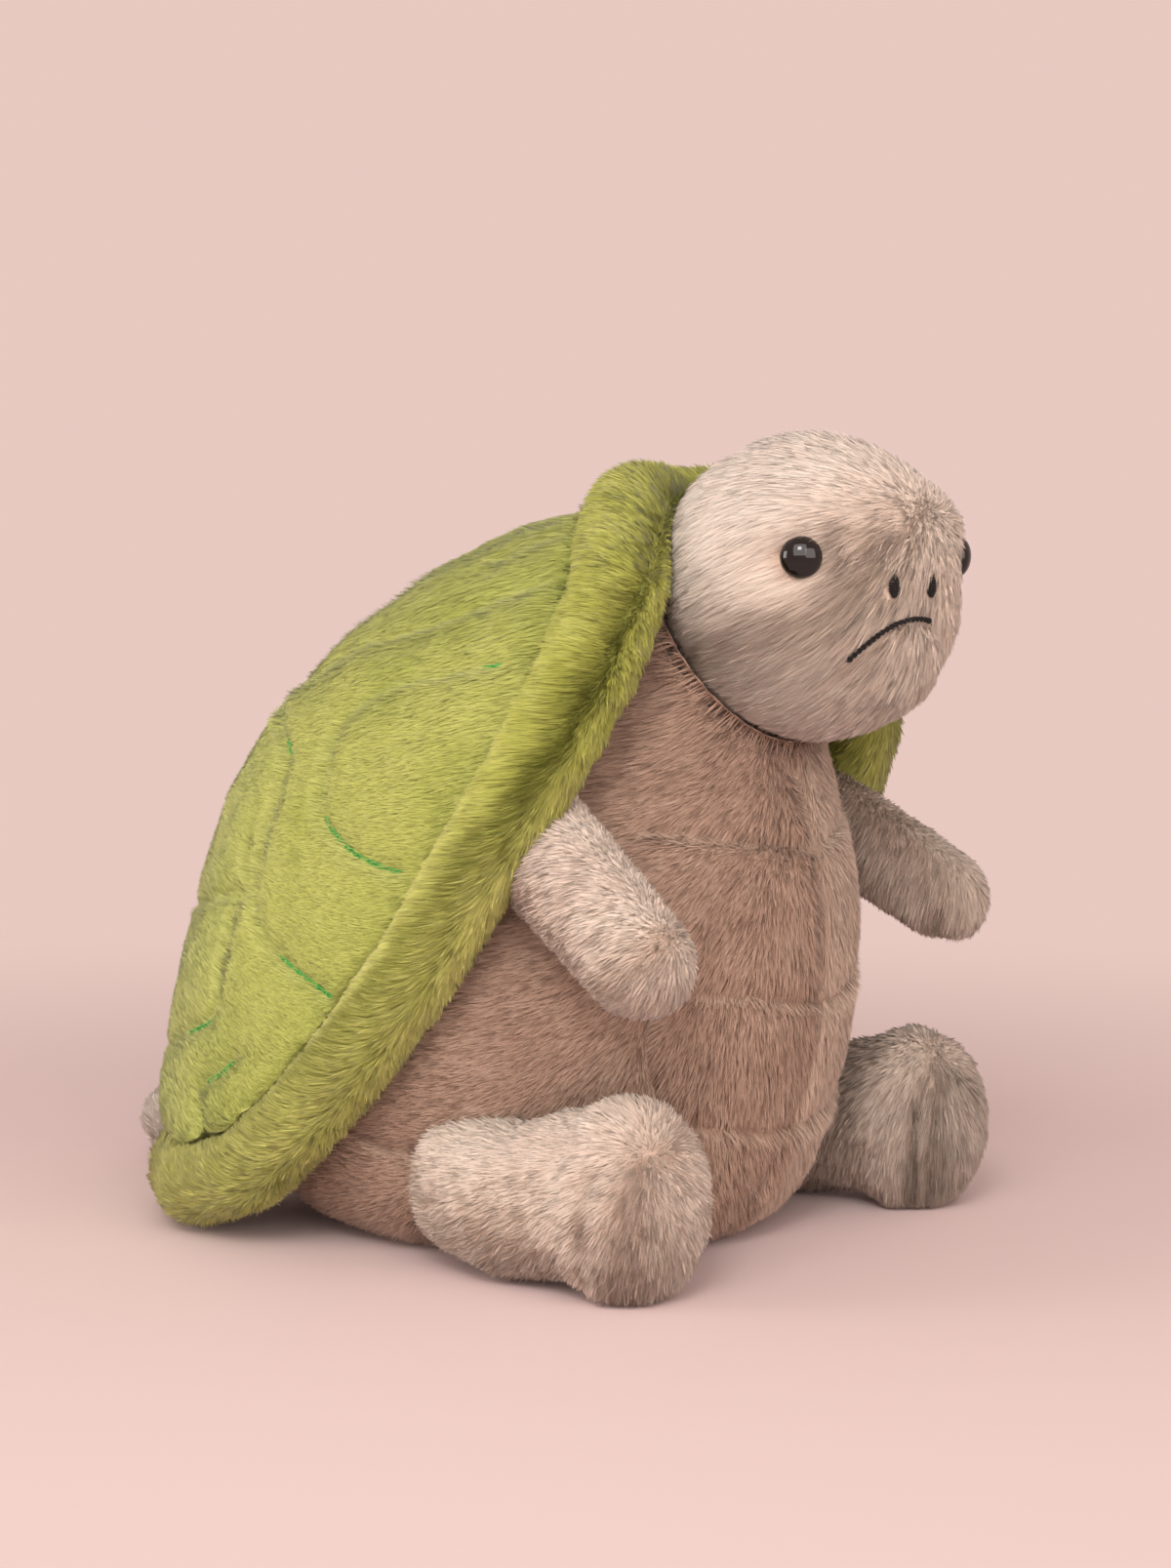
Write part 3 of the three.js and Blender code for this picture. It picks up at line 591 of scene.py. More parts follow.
def backing(name, root, tip):
    """The plush's woven ground with the feet of its fibres, seen between the locks of the pile."""
    recipe = Recipe(name)
    fibres = recipe.noise(2600, 3, 0.7)
    locks = recipe.noise(330, 3, 0.6)
    patches = recipe.spread(recipe.noise(38), 0.3, 0.75)
    colour = recipe.mix(recipe.spread(fibres * 0.55 + locks * 0.45, 0.36, 0.66), root, tip)
    colour = recipe.mix(patches * 0.3, colour, darker(root, 0.8))
    normal = recipe.bump(fibres * 0.4 + locks * 0.8, 0.0012, 0.7)
    return recipe.finish(Base_Color=colour, Roughness=0.9 + fibres * 0.1, Normal=normal, Sheen_Weight=0.25,
                         Sheen_Roughness=0.5, Specular_IOR_Level=0.1)


def plush_pile(name, root, tip, warm, frost):
    """The fibres: dark at their feet, in part as painted shade, paler to their ends, with warm patches and a few
    frosted locks; each strand's paleness adds frost in some places and painted light in others, and its darkening
    adds painted shade and dark specks.
    """
    recipe = Recipe(name)
    strand = recipe.node("ShaderNodeAttribute", {"attribute_name": "strand"})
    parts = recipe.node("ShaderNodeSeparateColor", {"mode": "RGB"}, {"Color": strand.outputs["Color"]})
    along, tint, shade = [Number(recipe, parts.outputs[i]) for i in range(3)]
    pale = Number(recipe, strand.outputs["Alpha"])
    patches = recipe.spread(recipe.noise(26), 0.35, 0.7)
    drift = recipe.spread(recipe.noise(120), 0.3, 0.72)
    # the darker root at the fibres' feet is partly painted shade deep in the pile
    colour = recipe.mix(recipe.spread(along, -0.1, 0.65), root, tip)
    colour = recipe.mix(patches * 0.45, colour, recipe.mix(along, darker(warm, 0.55), warm))
    colour = recipe.mix(recipe.spread(along, 0.55, 1.0) * drift * 0.5, colour, frost)
    colour = recipe.mix(recipe.spread(tint, 0.80, 1.0) * 0.4, colour, root)
    # painted light where a strand is made pale for its lighting, frosted tips elsewhere
    colour = recipe.mix(pale * (0.3 + along * 0.7), colour, frost)
    # painted shade: the strand's darkening mixes in a much darker root colour, together with the random specks
    colour = recipe.mix(shade, colour, darker(root, 0.34))
    normal = recipe.bump(recipe.noise(2600), 0.0001, 0.2, Normal=recipe.own_facing())
    return recipe.finish(Base_Color=colour, Roughness=0.72 + tint * 0.2, Normal=normal, Sheen_Weight=0.12,
                         Sheen_Roughness=0.45, Specular_IOR_Level=0.1)


def glossy_button(name, dark, light):
    recipe = Recipe(name)
    colour = recipe.mix(recipe.spread(recipe.noise(90, 1), 0.3, 0.8) * 0.5, dark, light)
    return recipe.finish(Base_Color=colour, Roughness=0.03 + recipe.noise(900) * 0.02, Specular_IOR_Level=0.5)


def twisted_thread(name, dark, light):
    recipe = Recipe(name)
    fibre = recipe.noise(5200, 2, 0.6)
    ply = recipe.noise(900)
    colour = recipe.mix(recipe.spread(fibre * 0.5 + ply * 0.5, 0.35, 0.65), dark, light)
    return recipe.finish(Base_Color=colour, Roughness=0.55 + fibre * 0.3, Normal=recipe.bump(fibre, 0.0002, 0.6),
                         Sheen_Weight=0.05, Specular_IOR_Level=0.2)


def moulded_plastic(name, dark, light):
    recipe = Recipe(name)
    grain = recipe.noise(1500, 3)
    return recipe.finish(Base_Color=recipe.mix(grain, dark, light), Roughness=0.4 + grain * 0.2,
                         Normal=recipe.bump(grain, 0.0001, 0.4))


def paper_sweep(name, colour, backdrop):
    """Plain paper near the object, which far off has the backdrop's own brightness."""
    recipe = Recipe(name)
    grain = recipe.noise(700, 3)
    paper = recipe.finish(Base_Color=recipe.mix(grain * 0.06, colour, darker(colour, 0.9)),
                          Roughness=0.85 + grain * 0.1, Specular_IOR_Level=0.15)
    reach = recipe.number("ShaderNodeVectorMath", {"operation": "LENGTH"}, {0: recipe.place()}, "Value")
    path = recipe.node("ShaderNodeLightPath")
    seen = Number(recipe, path.outputs["Is Camera Ray"]) + Number(recipe, path.outputs["Is Glossy Ray"])
    glow = recipe.node("ShaderNodeEmission", None, {"Color": backdrop, "Strength": 1.0})
    share = recipe.spread(reach, 0.12, 0.85) * seen
    mixer = recipe.node("ShaderNodeMixShader", None, {0: share, 1: recipe.shader.outputs[0], 2: glow.outputs[0]})
    out = next(n for n in recipe.tree.nodes if n.type == "OUTPUT_MATERIAL")
    recipe.tree.links.new(mixer.outputs[0], out.inputs["Surface"])
    return paper


looks = {
    "eye": glossy_button("eye", *BUTTON_BLACK),
    "black_thread": twisted_thread("black_thread_strands", *THREAD_BLACK),
    "green_thread": twisted_thread("green_thread_strands", *THREAD_GREEN),
    "washer": moulded_plastic("washer_black", *WASHER_BLACK),
}
for part, colours in (("body", BODY), ("torso", TORSO), ("shell", SHELL), ("rim", RIM)):
    if part != "rim":  # the roll's ground is the shell's
        looks[f"{part}_ground"] = backing(f"{part}_ground", *colours[:2])
    looks[f"{part}_pile"] = plush_pile(f"{part}_pile", *colours)


def wear(piece, look):
    piece.data.materials.clear()
    piece.data.materials.append(looks[look])


# ---- The stuffed pieces

shell_lines = [np.asarray(line, float) for line in SHELL_SEAMS.values()]
shell_lines += [line * (-1, 1, 1) for line in shell_lines]
belly_lines = [np.asarray(line, float) for line in BELLY_SEAMS.values()]
belly_lines.append(belly_lines[-1] * (-1, 1, 1))

torso = stuffed("torso_skin", ["torso_cover", "torso_filling", "base_bean_bag"], "torso",
                voxel=5, pressure=4, cap=4, rounds=60, grow=0.2)
shell = stuffed("shell_skin", ["shell_cover", "shell_wadding", "shell_lining"], "torso",
                voxel=4.5, pressure=4, cap=3, rounds=20, grow=-1.2, seams=shell_lines, heart=SHELL_HEART)
rim = stuffed("rim_skin", ["rim_cover", "rim_filling"], "torso",
              voxel=4, pressure=3, cap=2.5, rounds=60, grow=0.2)


def arm_form(side):
    """A blunt sausage from the shoulder to the hand."""
    root, hand = np.array(SHOULDER) * (SIGN[side], 1, 1), np.array(HAND[side])
    way = unit(hand - root)
    piece = ball(f"arm_skin_{side}", 48, 40)
    round_points = points_of(piece)
    reach = np.linalg.norm(hand - root)
    along = round_points[:, 2] * (reach / 2 + ARM_BLUNT) + reach / 2
    thick = SHOULDER_THICK + (HAND_THICK - SHOULDER_THICK) * np.clip(along / reach, 0, 1)
    past = np.maximum(np.abs(along - reach / 2) - reach / 2, 0)
    thick = np.sqrt(np.maximum(thick ** 2 - (past * thick / ARM_BLUNT) ** 2, 0))
    first = unit(np.cross(way, (0.0, 0.0, 1.0)))
    around = unit(round_points[:, :2] + 1e-9)
    out = np.outer(around[:, 0], first) + np.outer(around[:, 1], np.cross(first, way))
    put_points(piece, root + np.outer(along, way) + out * thick[:, None])
    face_out(piece)
    return piece


arms, legs = {}, {}
for side, grow in (("left", -1.8), ("right", -0.4)):
    arms[side] = stuffed(f"arm_skin_{side}", [f"arm_cover_{side}", f"arm_filling_{side}"], f"arm_{side}",
                         voxel=4, pressure=3, cap=1.5, rounds=30, grow=grow,
                         form=arm_form(side))
    legs[side] = stuffed(f"leg_skin_{side}", [f"leg_cover_{side}", f"leg_filling_{side}", f"foot_bean_bag_{side}"],
                         f"leg_{side}", voxel=4, pressure=3, cap=2.5, rounds=240, grow=-1.0)
tail = stuffed("tail_skin", ["tail_cover", "tail_filling"], "tail",
               voxel=3.5, pressure=3, cap=2, rounds=30, grow=-2.0)

# The roll's crest and the crown beneath it have settled a little, and their corners are rounded towards the neck
for piece, drop in ((rim, 5.0), (shell, 3.0)):
    settled = points_of(piece)
    settled[:, 2] -= drop * ease(settled[:, 2], 232, 256)
    for sign in (-1, 1):
        corner = np.linalg.norm(settled - np.array((sign * 56.0, -88.0, 243.0)), axis=1)
        settled += drop * fall(corner, 26)[:, None] * unit(np.array((-sign * 55.0, 25.0, -40.0)))
    put_points(piece, settled)
tucked = points_of(tail)
tucked[:, 1] -= 3.5 * ease(tucked[:, 1], 120, 165)
put_points(tail, tucked)
for side in arms:
    pressed(arms[side], [torso, rim])


# ---- The head, shaped from a ball

def nearness(aside, rise, at_aside, at_rise, wide, high):
    return np.exp(-(((aside - at_aside) / wide) ** 2) - ((rise - at_rise) / high) ** 2)


def head_reach(aside, rise):
    """How far the head's surface lies from its middle: a flatter face, brows and a chin."""
    side = np.abs(aside)
    reach = HEAD_RADIUS - 6.5 * nearness(side, rise, 0, 0, 0.75, 0.6) - 1.5 * ease(rise, 0.6, 1.2)
    return reach + 4 * nearness(side, rise, 1, 0.44, 0.34, 0.24) + 2.5 * nearness(side, rise, 0, -0.62, 0.5, 0.3)


def turned(points, yaw):
    cosine, sine = math.cos(yaw), math.sin(yaw)
    x, y = points[..., 0], points[..., 1]
    return np.stack([x * cosine - y * sine, x * sine + y * cosine, points[..., 2]], axis=-1)


def face_point(aside, rise):
    aside, rise = np.asarray(aside, float), np.asarray(rise, float)
    way = np.stack([np.sin(aside) * np.cos(rise), -np.cos(aside) * np.cos(rise), np.sin(rise)], axis=-1)
    return turned(way * head_reach(aside, rise)[..., None], -HEAD_YAW) + HEAD


def face_normal(aside, rise):
    step = 1e-3
    across = face_point(aside + step, rise) - face_point(aside - step, rise)
    up = face_point(aside, rise + step) - face_point(aside, rise - step)
    normal = unit(np.cross(across, up))
    outward = face_point(aside, rise) - HEAD
    return np.where((normal * outward).sum(-1, keepdims=True) < 0, -normal, normal)


def face_angles(points):
    """How far aside and up from the face's middle each point lies."""
    away = turned(points - HEAD, HEAD_YAW)
    return np.arctan2(away[:, 0], -away[:, 1]), np.arcsin(np.clip(unit(away)[:, 2], -1, 1))


def mouth_line(count=60):
    share = np.linspace(-1, 1, count)
    rise = MOUTH_TOP + (MOUTH_END - MOUTH_TOP) * np.abs(share) ** 2.2
    return face_point(share * MOUTH_ASIDE, rise)


def far_from_face(points, aside, rise):
    """Each point's distance to one place on the face."""
    return np.linalg.norm(points - face_point(aside, rise), axis=1)


def make_head():
    piece = ball("head_skin", 176, 104, HEAD_RADIUS)
    way = unit(points_of(piece))
    aside, rise = np.arctan2(way[:, 0], -way[:, 1]), np.arcsin(np.clip(way[:, 2], -1, 1))
    points = turned(way * head_reach(aside, rise)[:, None], -HEAD_YAW) + HEAD
    put_points(piece, points)
    normals = normals_of(piece)
    # the mouth's crease, eye sockets, dips under the nostrils and a soft cleft in the forehead
    mouth_gap = distance_to(points, [mouth_line()])
    sink = 1.3 * fall(mouth_gap, 1.8) + 0.9 * fall(mouth_gap, 6)
    for sign in (-1, 1):
        sink += 1.2 * fall(far_from_face(points, sign * EYE_ASIDE, EYE_RISE), 8.5)
        sink += 1.0 * fall(far_from_face(points, NOSTRIL_ASIDE[sign], 0.0), 3.2)
    sink += 1.0 * fall(distance_to(points, [face_point(CLEFT_ASIDE, CLEFT_RISE)]), 4)
    put_points(piece, points - normals * sink[:, None])
    join_object(piece, "head", ["head_cover", "head_filling"])
    return piece


def make_neck():
    piece = copy_of("neck_skin", ["neck_gusset"])
    subdivide(piece)
    relax(piece, 12)
    swell(piece, -0.5)
    join_object(piece, "neck", ["neck_gusset"])
    return piece


head = make_head()
neck = make_neck()

# Sewn channels, after the filling
shell_laid = laid_lines(shell, SHELL_HEART, shell_lines)
seamed(shell, shell_laid, depth=1.9, width=1.9, pucker=1.1)
belly_laid = laid_lines(torso, TORSO_HEART, belly_lines)
seamed(torso, belly_laid, depth=2.4, width=2.0, pucker=0.9)
sole_laid = {}
for side, sign in SIGN.items():
    sole_laid[side] = laid_lines(legs[side], np.array(LEG_HEART) * (sign, 1, 1), [SOLE_SEAMS[side]])
    seamed(legs[side], sole_laid[side], depth=1.2, width=1.8, pucker=0.4)

for look, pieces in (("torso_ground", [torso, neck]), ("shell_ground", [shell, rim]),
                     ("body_ground", [head, tail, *arms.values(), *legs.values()]),
                     ("washer", [frame["nodes"][f"eye_washer_{side}"] for side in SIGN])):
    for piece in pieces:
        wear(piece, look)


# ---- Eyes, nostrils, mouth and stitches

def framed(aside, rise):
    """A place on the face with its outward direction and two directions along the surface."""
    middle, outward = face_point(aside, rise), face_normal(aside, rise)
    across = unit(np.cross(np.array((0.0, 0.0, 1.0)), outward))
    return middle, outward, across, unit(np.cross(outward, across))


def make_eye(side):
    """A domed button, flatter behind."""
    piece = ball(f"button_eye_{side}", 48, 32)
    shape = points_of(piece)
    middle, outward, across, up = framed(SIGN[side] * EYE_ASIDE, EYE_RISE)
    rise = np.where(shape[:, 2] > 0, shape[:, 2] * EYE_DOME, shape[:, 2] * EYE_BACK) + EYE_LIFT
    flat = np.outer(shape[:, 0], across) + np.outer(shape[:, 1], up)
    put_points(piece, middle + flat * EYE_RADIUS + np.outer(rise, outward))
    join_object(piece, "head", [f"eye_{side}"])
    wear(piece, "eye")


def make_nostril(side):
    """A satin-stitched oval: threads side by side across it, raised in the middle."""
    piece = ball(f"satin_nostril_{side}", 40, 56)
    shape = points_of(piece)
    middle, outward, across, up = framed(NOSTRIL_ASIDE[SIGN[side]], 0.0)
    ridge = 1 + 0.10 * np.cos(shape[:, 2] * NOSTRIL_THREADS * math.pi)
    flat = np.outer(shape[:, 0] * NOSTRIL_WIDE * ridge, across) + np.outer(shape[:, 2] * NOSTRIL_HIGH, up)
    put_points(piece, middle + flat + np.outer(shape[:, 1] * NOSTRIL_DEEP * ridge + NOSTRIL_LIFT, outward))
    face_out(piece)
    join_object(piece, "head", [f"nostril_{side}"])
    wear(piece, "black_thread")


def strand_mesh(name, lines, radius, sides, plies=1, twist=0.0, pinch=True):
    """Thread along lines: round strands, laid round each other where there is more than one ply."""
    points, faces = [], []
    apart, thick = (radius * 0.55, radius * 0.62) if plies > 1 else (0.0, radius)
    for line in lines:
        line = np.asarray(line, float)
        along = unit(np.gradient(line, axis=0))
        first = unit(np.cross(along, np.array((0.31, 0.17, 0.93))))
        second = np.cross(along, first)
        reach = np.concatenate([[0], np.cumsum(np.linalg.norm(np.diff(line, axis=0), axis=1))])
        size = np.full(len(line), thick)
        if pinch:
            size = thick * np.clip(np.minimum(reach, reach[-1] - reach) / (thick * 2) + 0.35, 0.35, 1)
        for ply in range(plies):
            turn = (twist * reach + ply * 2 * math.pi / plies)[:, None]
            heart = line + (first * np.cos(turn) + second * np.sin(turn)) * apart
            base = len(points)
            for spot in range(len(line)):
                for side in range(sides):
                    angle = 2 * math.pi * side / sides
                    way = first[spot] * math.cos(angle) + second[spot] * math.sin(angle)
                    points.append(heart[spot] + way * size[spot])
            for spot in range(len(line) - 1):
                for side in range(sides):
                    a, b = base + spot * sides + side, base + spot * sides + (side + 1) % sides
                    faces.append((a, b, b + sides, a + sides))
            faces.append(tuple(base + side for side in reversed(range(sides))))
            faces.append(tuple(base + (len(line) - 1) * sides + side for side in range(sides)))
    piece = new_piece(name, points, faces)
    face_out(piece)
    bpy.ops.object.shade_smooth()
    return piece


def chain_stitches(tree, heart, lines, length=2.6, lift=1.0):
    """Short loops of thread, one behind the other, along lines on a surface."""
    loops = []
    for line in lines:
        even = laid_on(tree, heart, resampled(line, length * 0.8))
        for near, far in zip(even[:-1], even[1:]):
            outward = unit((near + far) / 2 - heart)
            across = unit(np.cross(far - near, outward))
            ring = []
            for turn in np.linspace(0, 2 * math.pi, 9)[:-1]:
                spot = (near + far) / 2 + (far - near) * 0.62 * math.cos(turn) + across * 0.55 * math.sin(turn)
                ring.append(spot + outward * (lift + 0.25 * math.sin(turn * 0.5)))
            loops.append(np.array(ring + ring[:2]))
    return loops


for side in ("right", "left"):
    make_eye(side)
    make_nostril(side)

# The mouth's further half lies deeper, under the fibres
sunk = ease(np.linspace(-1, 1, 150), 0.22, 0.36)[:, None]
mouth_path = mouth_line(150) + unit(mouth_line(150) - HEAD) * (0.8 - 1.9 * sunk)
mouth = strand_mesh("mouth_stitches", [mouth_path], radius=0.8, sides=7, plies=2, twist=1.6)
join_object(mouth, "head", ["mouth_thread"])
wear(mouth, "black_thread")

seam_names = list(SHELL_SEAMS)
open_lines = []
for seam, start, end in OPEN_THREAD:
    line = shell_laid[seam_names.index(seam)]
    first, last = int(start * (len(line) - 1)), int(end * (len(line) - 1)) + 1
    for mirror in (1, -1):
        open_lines.append(line[first:last + 1] * (mirror, 1, 1))
loops = chain_stitches(tree_of(shell), SHELL_HEART, open_lines)
thread = strand_mesh("quilting_thread", loops, radius=0.30, sides=4, pinch=False)
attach(thread, "torso")
wear(thread, "green_thread")


# ---- Pile

noise = Noise(7)
# A turn of space, so that the locks lie along none of its axes
ASKEW = np.array([[0.742, -0.517, 0.427], [0.336, 0.853, 0.399], [-0.580, -0.073, 0.811]])
SCATTER = np.array([[12.9, 39.3, 73.1], [78.2, 11.1, 52.2], [37.7, 83.3, 9.1]])  # any large uneven numbers
# shade is painted shade; pale is frosted tips in some places and painted light in others
PLAIN = {"keep": 1.0, "length": 4.0, "lean": 0.7, "shade": 0.0, "speck": 0.15, "swirl": 0.5, "pale": 0.0}


def room_around(piece, others, reach=12.0):
    """How far each of a cover's points lies outside the other covers, at most the reach; below zero is inside."""
    points = points_of(piece)
    room = np.full(len(points), reach)
    for other in others:
        low, high = points_of(other).min(0) - reach, points_of(other).max(0) + reach
        near = np.where(((points > low) & (points < high)).all(1))[0]
        room[near] = np.minimum(room[near], height_above(*surface_of(other), points[near])[0])
    return room


def pile(name, piece, body, slot, look, seed, per_mm2=3.3, width=0.30, bent=True, clump=1.8, pull=0.5, curl=3.3,
         **fields):
    """Cuts of plush fibre rooted all over a cover, each a tapering blade that follows the nap."""
    rng = np.random.default_rng(seed)
    points, normals, faces = points_of(piece), normals_of(piece), triangles_of(piece)
    columns = [np.broadcast_to(fields.get(key, value), len(points))[:, None] for key, value in PLAIN.items()]
    table = np.concatenate([points, normals, fields["flow"], *columns], axis=1)
    a, b, c = points[faces[:, 0]], points[faces[:, 1]], points[faces[:, 2]]
    weight = np.linalg.norm(np.cross(b - a, c - a), axis=1) / 2 * columns[0][faces, 0].mean(1)
    total = weight.sum()
    count = int(total * per_mm2)
    even = (np.arange(count) + rng.random(count)) / count * total
    pick = np.searchsorted(np.cumsum(weight), even).clip(0, len(faces) - 1)
    reach, split = np.sqrt(rng.random(count)), rng.random(count)
    share = np.stack([1 - reach, reach * (1 - split), reach * split], axis=1)
    mixed = (table[faces[pick]] * share[:, :, None]).sum(1)
    root, normal, way = mixed[:, 0:3], unit(mixed[:, 3:6]), mixed[:, 6:9]
    long, tilt, dark, speck, swirl, pale = [mixed[:, spot] for spot in range(10, 16)]
    # locks: fibres that share a place on the ground lean to one heart and share a length and a tone
    cell = np.floor(root @ ASKEW / clump + noise.at(root, clump * 2.2) * 0.7)
    scatter = np.modf(np.sin(cell @ SCATTER) * 43758.5)[0]
    lock = np.abs(scatter)
    stir = noise.at(root, 11) * 0.4 + noise.at(root, curl) * 0.5 + scatter * 0.15 + rng.normal(0, 0.28, (count, 3))
    way = unit(across_of(way + stir * swirl[:, None], normal))
    long = long * (0.72 + 0.4 * rng.random(count)) * (1 + 0.16 * noise.at(root, 6)[:, 0])
    long = (long * (0.88 + 0.24 * lock[:, 0]))[:, None]
    heart = (cell + 0.5 + scatter * 0.3) * clump @ ASKEW.T
    gather = across_of(heart - root, normal) * pull
    tilt = tilt + rng.normal(0, 1, count) * (0.02 + 0.22 * swirl)
    tilt = tilt + (0.16 * noise.at(root, 5)[:, 1] + 0.1 * scatter[:, 1]) * (0.5 + swirl)
    low, high = np.clip(tilt - 0.2, 0.05, 1.4)[:, None], np.clip(tilt + 0.25, 0.1, 1.5)[:, None]
    middle = root + (normal * np.cos(low) + way * np.sin(low)) * long * 0.5 + gather * 0.3
    tip = middle + (normal * np.cos(high) + way * np.sin(high)) * long * 0.5 + gather * 0.7
    # each blade is turned about its own length, so that no stretch of the pile is seen edge on
    flat, roll = unit(np.cross(tip - root, normal)), rng.normal(0, 0.8, (count, 1))
    across = flat * np.cos(roll) + np.cross(unit(tip - root), flat) * np.sin(roll)
    half = across * (width * (0.75 + 0.5 * rng.random(count)) / 2)[:, None]
    foot = root - normal * BLADE_FOOT
    rows = [foot - half, foot + half] + ([middle + half * 0.8] if bent else []) + [tip]
    corners = np.stack(rows, axis=1)
    corners[:, :, 2] = np.maximum(corners[:, :, 2], BLADE_FOOT)
    # a round fibre takes the light from all round, so a blade faces much as its cover does
    facing = unit(normal + rng.normal(0, 0.26, (count, 3)))
    tint = 0.6 * rng.random(count) + 0.4 * lock[:, 2]
    # painted shade and random specks darken a fibre; frost and painted light make it paler
    dark = np.clip(dark + speck * ease(noise.at(root, 1.25)[:, 2], 0.15, 0.5), 0, 0.92)
    pale = np.clip(pale * (0.6 + 0.8 * lock[:, 1]), 0, 1)
    order = np.lexsort((root[:, 0], np.floor(root[:, 2] / 9)))
    most = MOST_TRIANGLES // (2 if bent else 1)
    for number, part in enumerate(np.array_split(order, max(1, math.ceil(count / most)))):
        made = blades(f"{name}_{number + 1}", corners[part], facing[part], tint[part], dark[part], pale[part])
        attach(made, body)
        wear(made, look)


def blades(name, corners, facing, tint, dark, pale):
    """One mesh of many blades, of one face for three corners and two for four."""
    count, ends = corners.shape[:2]
    three = ends == 3
    turn = [0, 1, 2] if three else [0, 1, 2, 0, 2, 3]
    mesh = bpy.data.meshes.new(name)
    mesh.vertices.add(count * ends)
    mesh.vertices.foreach_set("co", (corners * MM).astype(np.float32).ravel())
    mesh.loops.add(count * len(turn))
    around = np.arange(count)[:, None] * ends + np.array(turn)
    mesh.loops.foreach_set("vertex_index", around.astype(np.int32).ravel())
    mesh.polygons.add(count * len(turn) // 3)
    mesh.polygons.foreach_set("loop_start", np.arange(0, count * len(turn), 3, dtype=np.int32))
    mesh.update(calc_edges=True)
    strand = np.ones((count, ends, 4), np.float32)
    strand[:, :, 0] = (0.0, 0.0, 1.0) if three else (0.0, 0.0, 0.5, 1.0)
    # the strand: share along the blade, random tone, darkening as painted shade and specks, paleness as frost and
    # painted light
    for channel, values in ((1, tint), (2, dark), (3, pale)):
        strand[:, :, channel] = values[:, None]
    mesh.attributes.new("strand", "FLOAT_COLOR", "POINT").data.foreach_set("color", strand.ravel())
    ways = np.repeat(facing, ends, axis=0).astype(np.float32)
    mesh.attributes.new("custom_normal", "FLOAT_VECTOR", "POINT").data.foreach_set("vector", ways.ravel())
    # a small picture tile for each bundle of fibres, so that the finish can be baked
    tiles = math.ceil(math.sqrt(count / 64))
    spot = np.arange(count) * tiles * tiles // count
    tile = np.stack([spot % tiles, spot // tiles], axis=1)[:, None, :] / tiles
    low, high = [(0.1, 0.05), (0.9, 0.05)], [(0.5, 0.95)]
    shape = np.array(low + high if three else low + [(0.9, 0.5)] + high)[turn]
    spots = (tile + shape[None] / tiles).astype(np.float32)
    mesh.uv_layers.new(name="OFBake").data.foreach_set("uv", spots.ravel())
    piece = bpy.data.objects.new(name, mesh)
    scene.collection.objects.link(piece)
    return piece


def pile_on_torso():
    points, normals = points_of(torso), normals_of(torso)
    gap, above = off_lines(points, belly_laid)
    room = room_around(torso, [shell, rim, head, *arms.values(), *legs.values(), tail])
    keep = ease(room, -0.5, 1.5) * ease(gap, 0.5, 1.3) * ease(points[:, 2], 1.0, 4.0)
    aside = np.sign(points[:, 0]) * ease(np.abs(points[:, 0]), 20, 90)
    flow = tangent(normals, np.stack([aside * 0.35, 0.45 * np.abs(aside), -np.ones(len(points))], axis=1))
    # the pile is smooth beyond the middle seam and curly over the rest, with a fringe under each seam; the smooth
    # side is also made paler as painted light
    smooth_and_painted_light = 0.75 * ease(points[:, 0], 0, 8) * ease(-points[:, 1], 60, 90)
    fringe = fall(gap - 2.2, 1.6) * (above < 0)
    pile("torso_pile", torso, "torso", "torso_plush", "torso_pile", 11, per_mm2=3.4, width=0.40, bent=False,
         clump=1.7, pull=0.55, curl=1.7, keep=keep, flow=flow,
         length=2.6 + 1.4 * fringe + 0.6 * ease(points[:, 2], 90, 20),
         lean=0.36 + 0.2 * np.abs(aside) + 0.5 * smooth_and_painted_light - 0.2 * fringe,
         # painted shade in the seam channels, and painted shadow near the top under the head and the shell
         shade=0.9 * fall(gap, 1.5) - 0.15 * fringe + 0.2 * ease(points[:, 2], 140, 200),
         speck=0.42 * (1 - smooth_and_painted_light), swirl=1.2 * (1 - 0.6 * smooth_and_painted_light), pale=0.9 * smooth_and_painted_light + 0.35 * fringe)


def pile_on_shell():
    points, normals = points_of(shell), normals_of(shell)
    gap, above = off_lines(points, shell_laid)
    open_gap = distance_to(points, open_lines)
    outer = ease(((points - SHELL_HEART) * normals).sum(1), 4, 18)
    keep = ease(room_around(shell, [rim, torso, head]), -0.5, 1.0) * outer
    keep = keep * ease(gap, 0.5, 1.2) * ease(open_gap, 1.2, 2.2)
    fringe = fall(gap - 2.4, 2.0) * (above < 0)
    # painted shade in the seam channels; the back of the shell is made paler as painted light
    pile("shell_pile", shell, "torso", "shell_plush", "shell_pile", 13, width=0.40, bent=False, pull=0.4,
         keep=keep, flow=tangent(normals, np.array((0.0, -1.0, -0.75))), length=2.3 + 1.3 * fringe,
         lean=0.85 - 0.35 * fringe, shade=0.8 * fall(gap, 1.7), speck=0.25, swirl=0.45,
         pale=0.9 * ease(points[:, 1], 20, 110) + 0.3 * fringe)


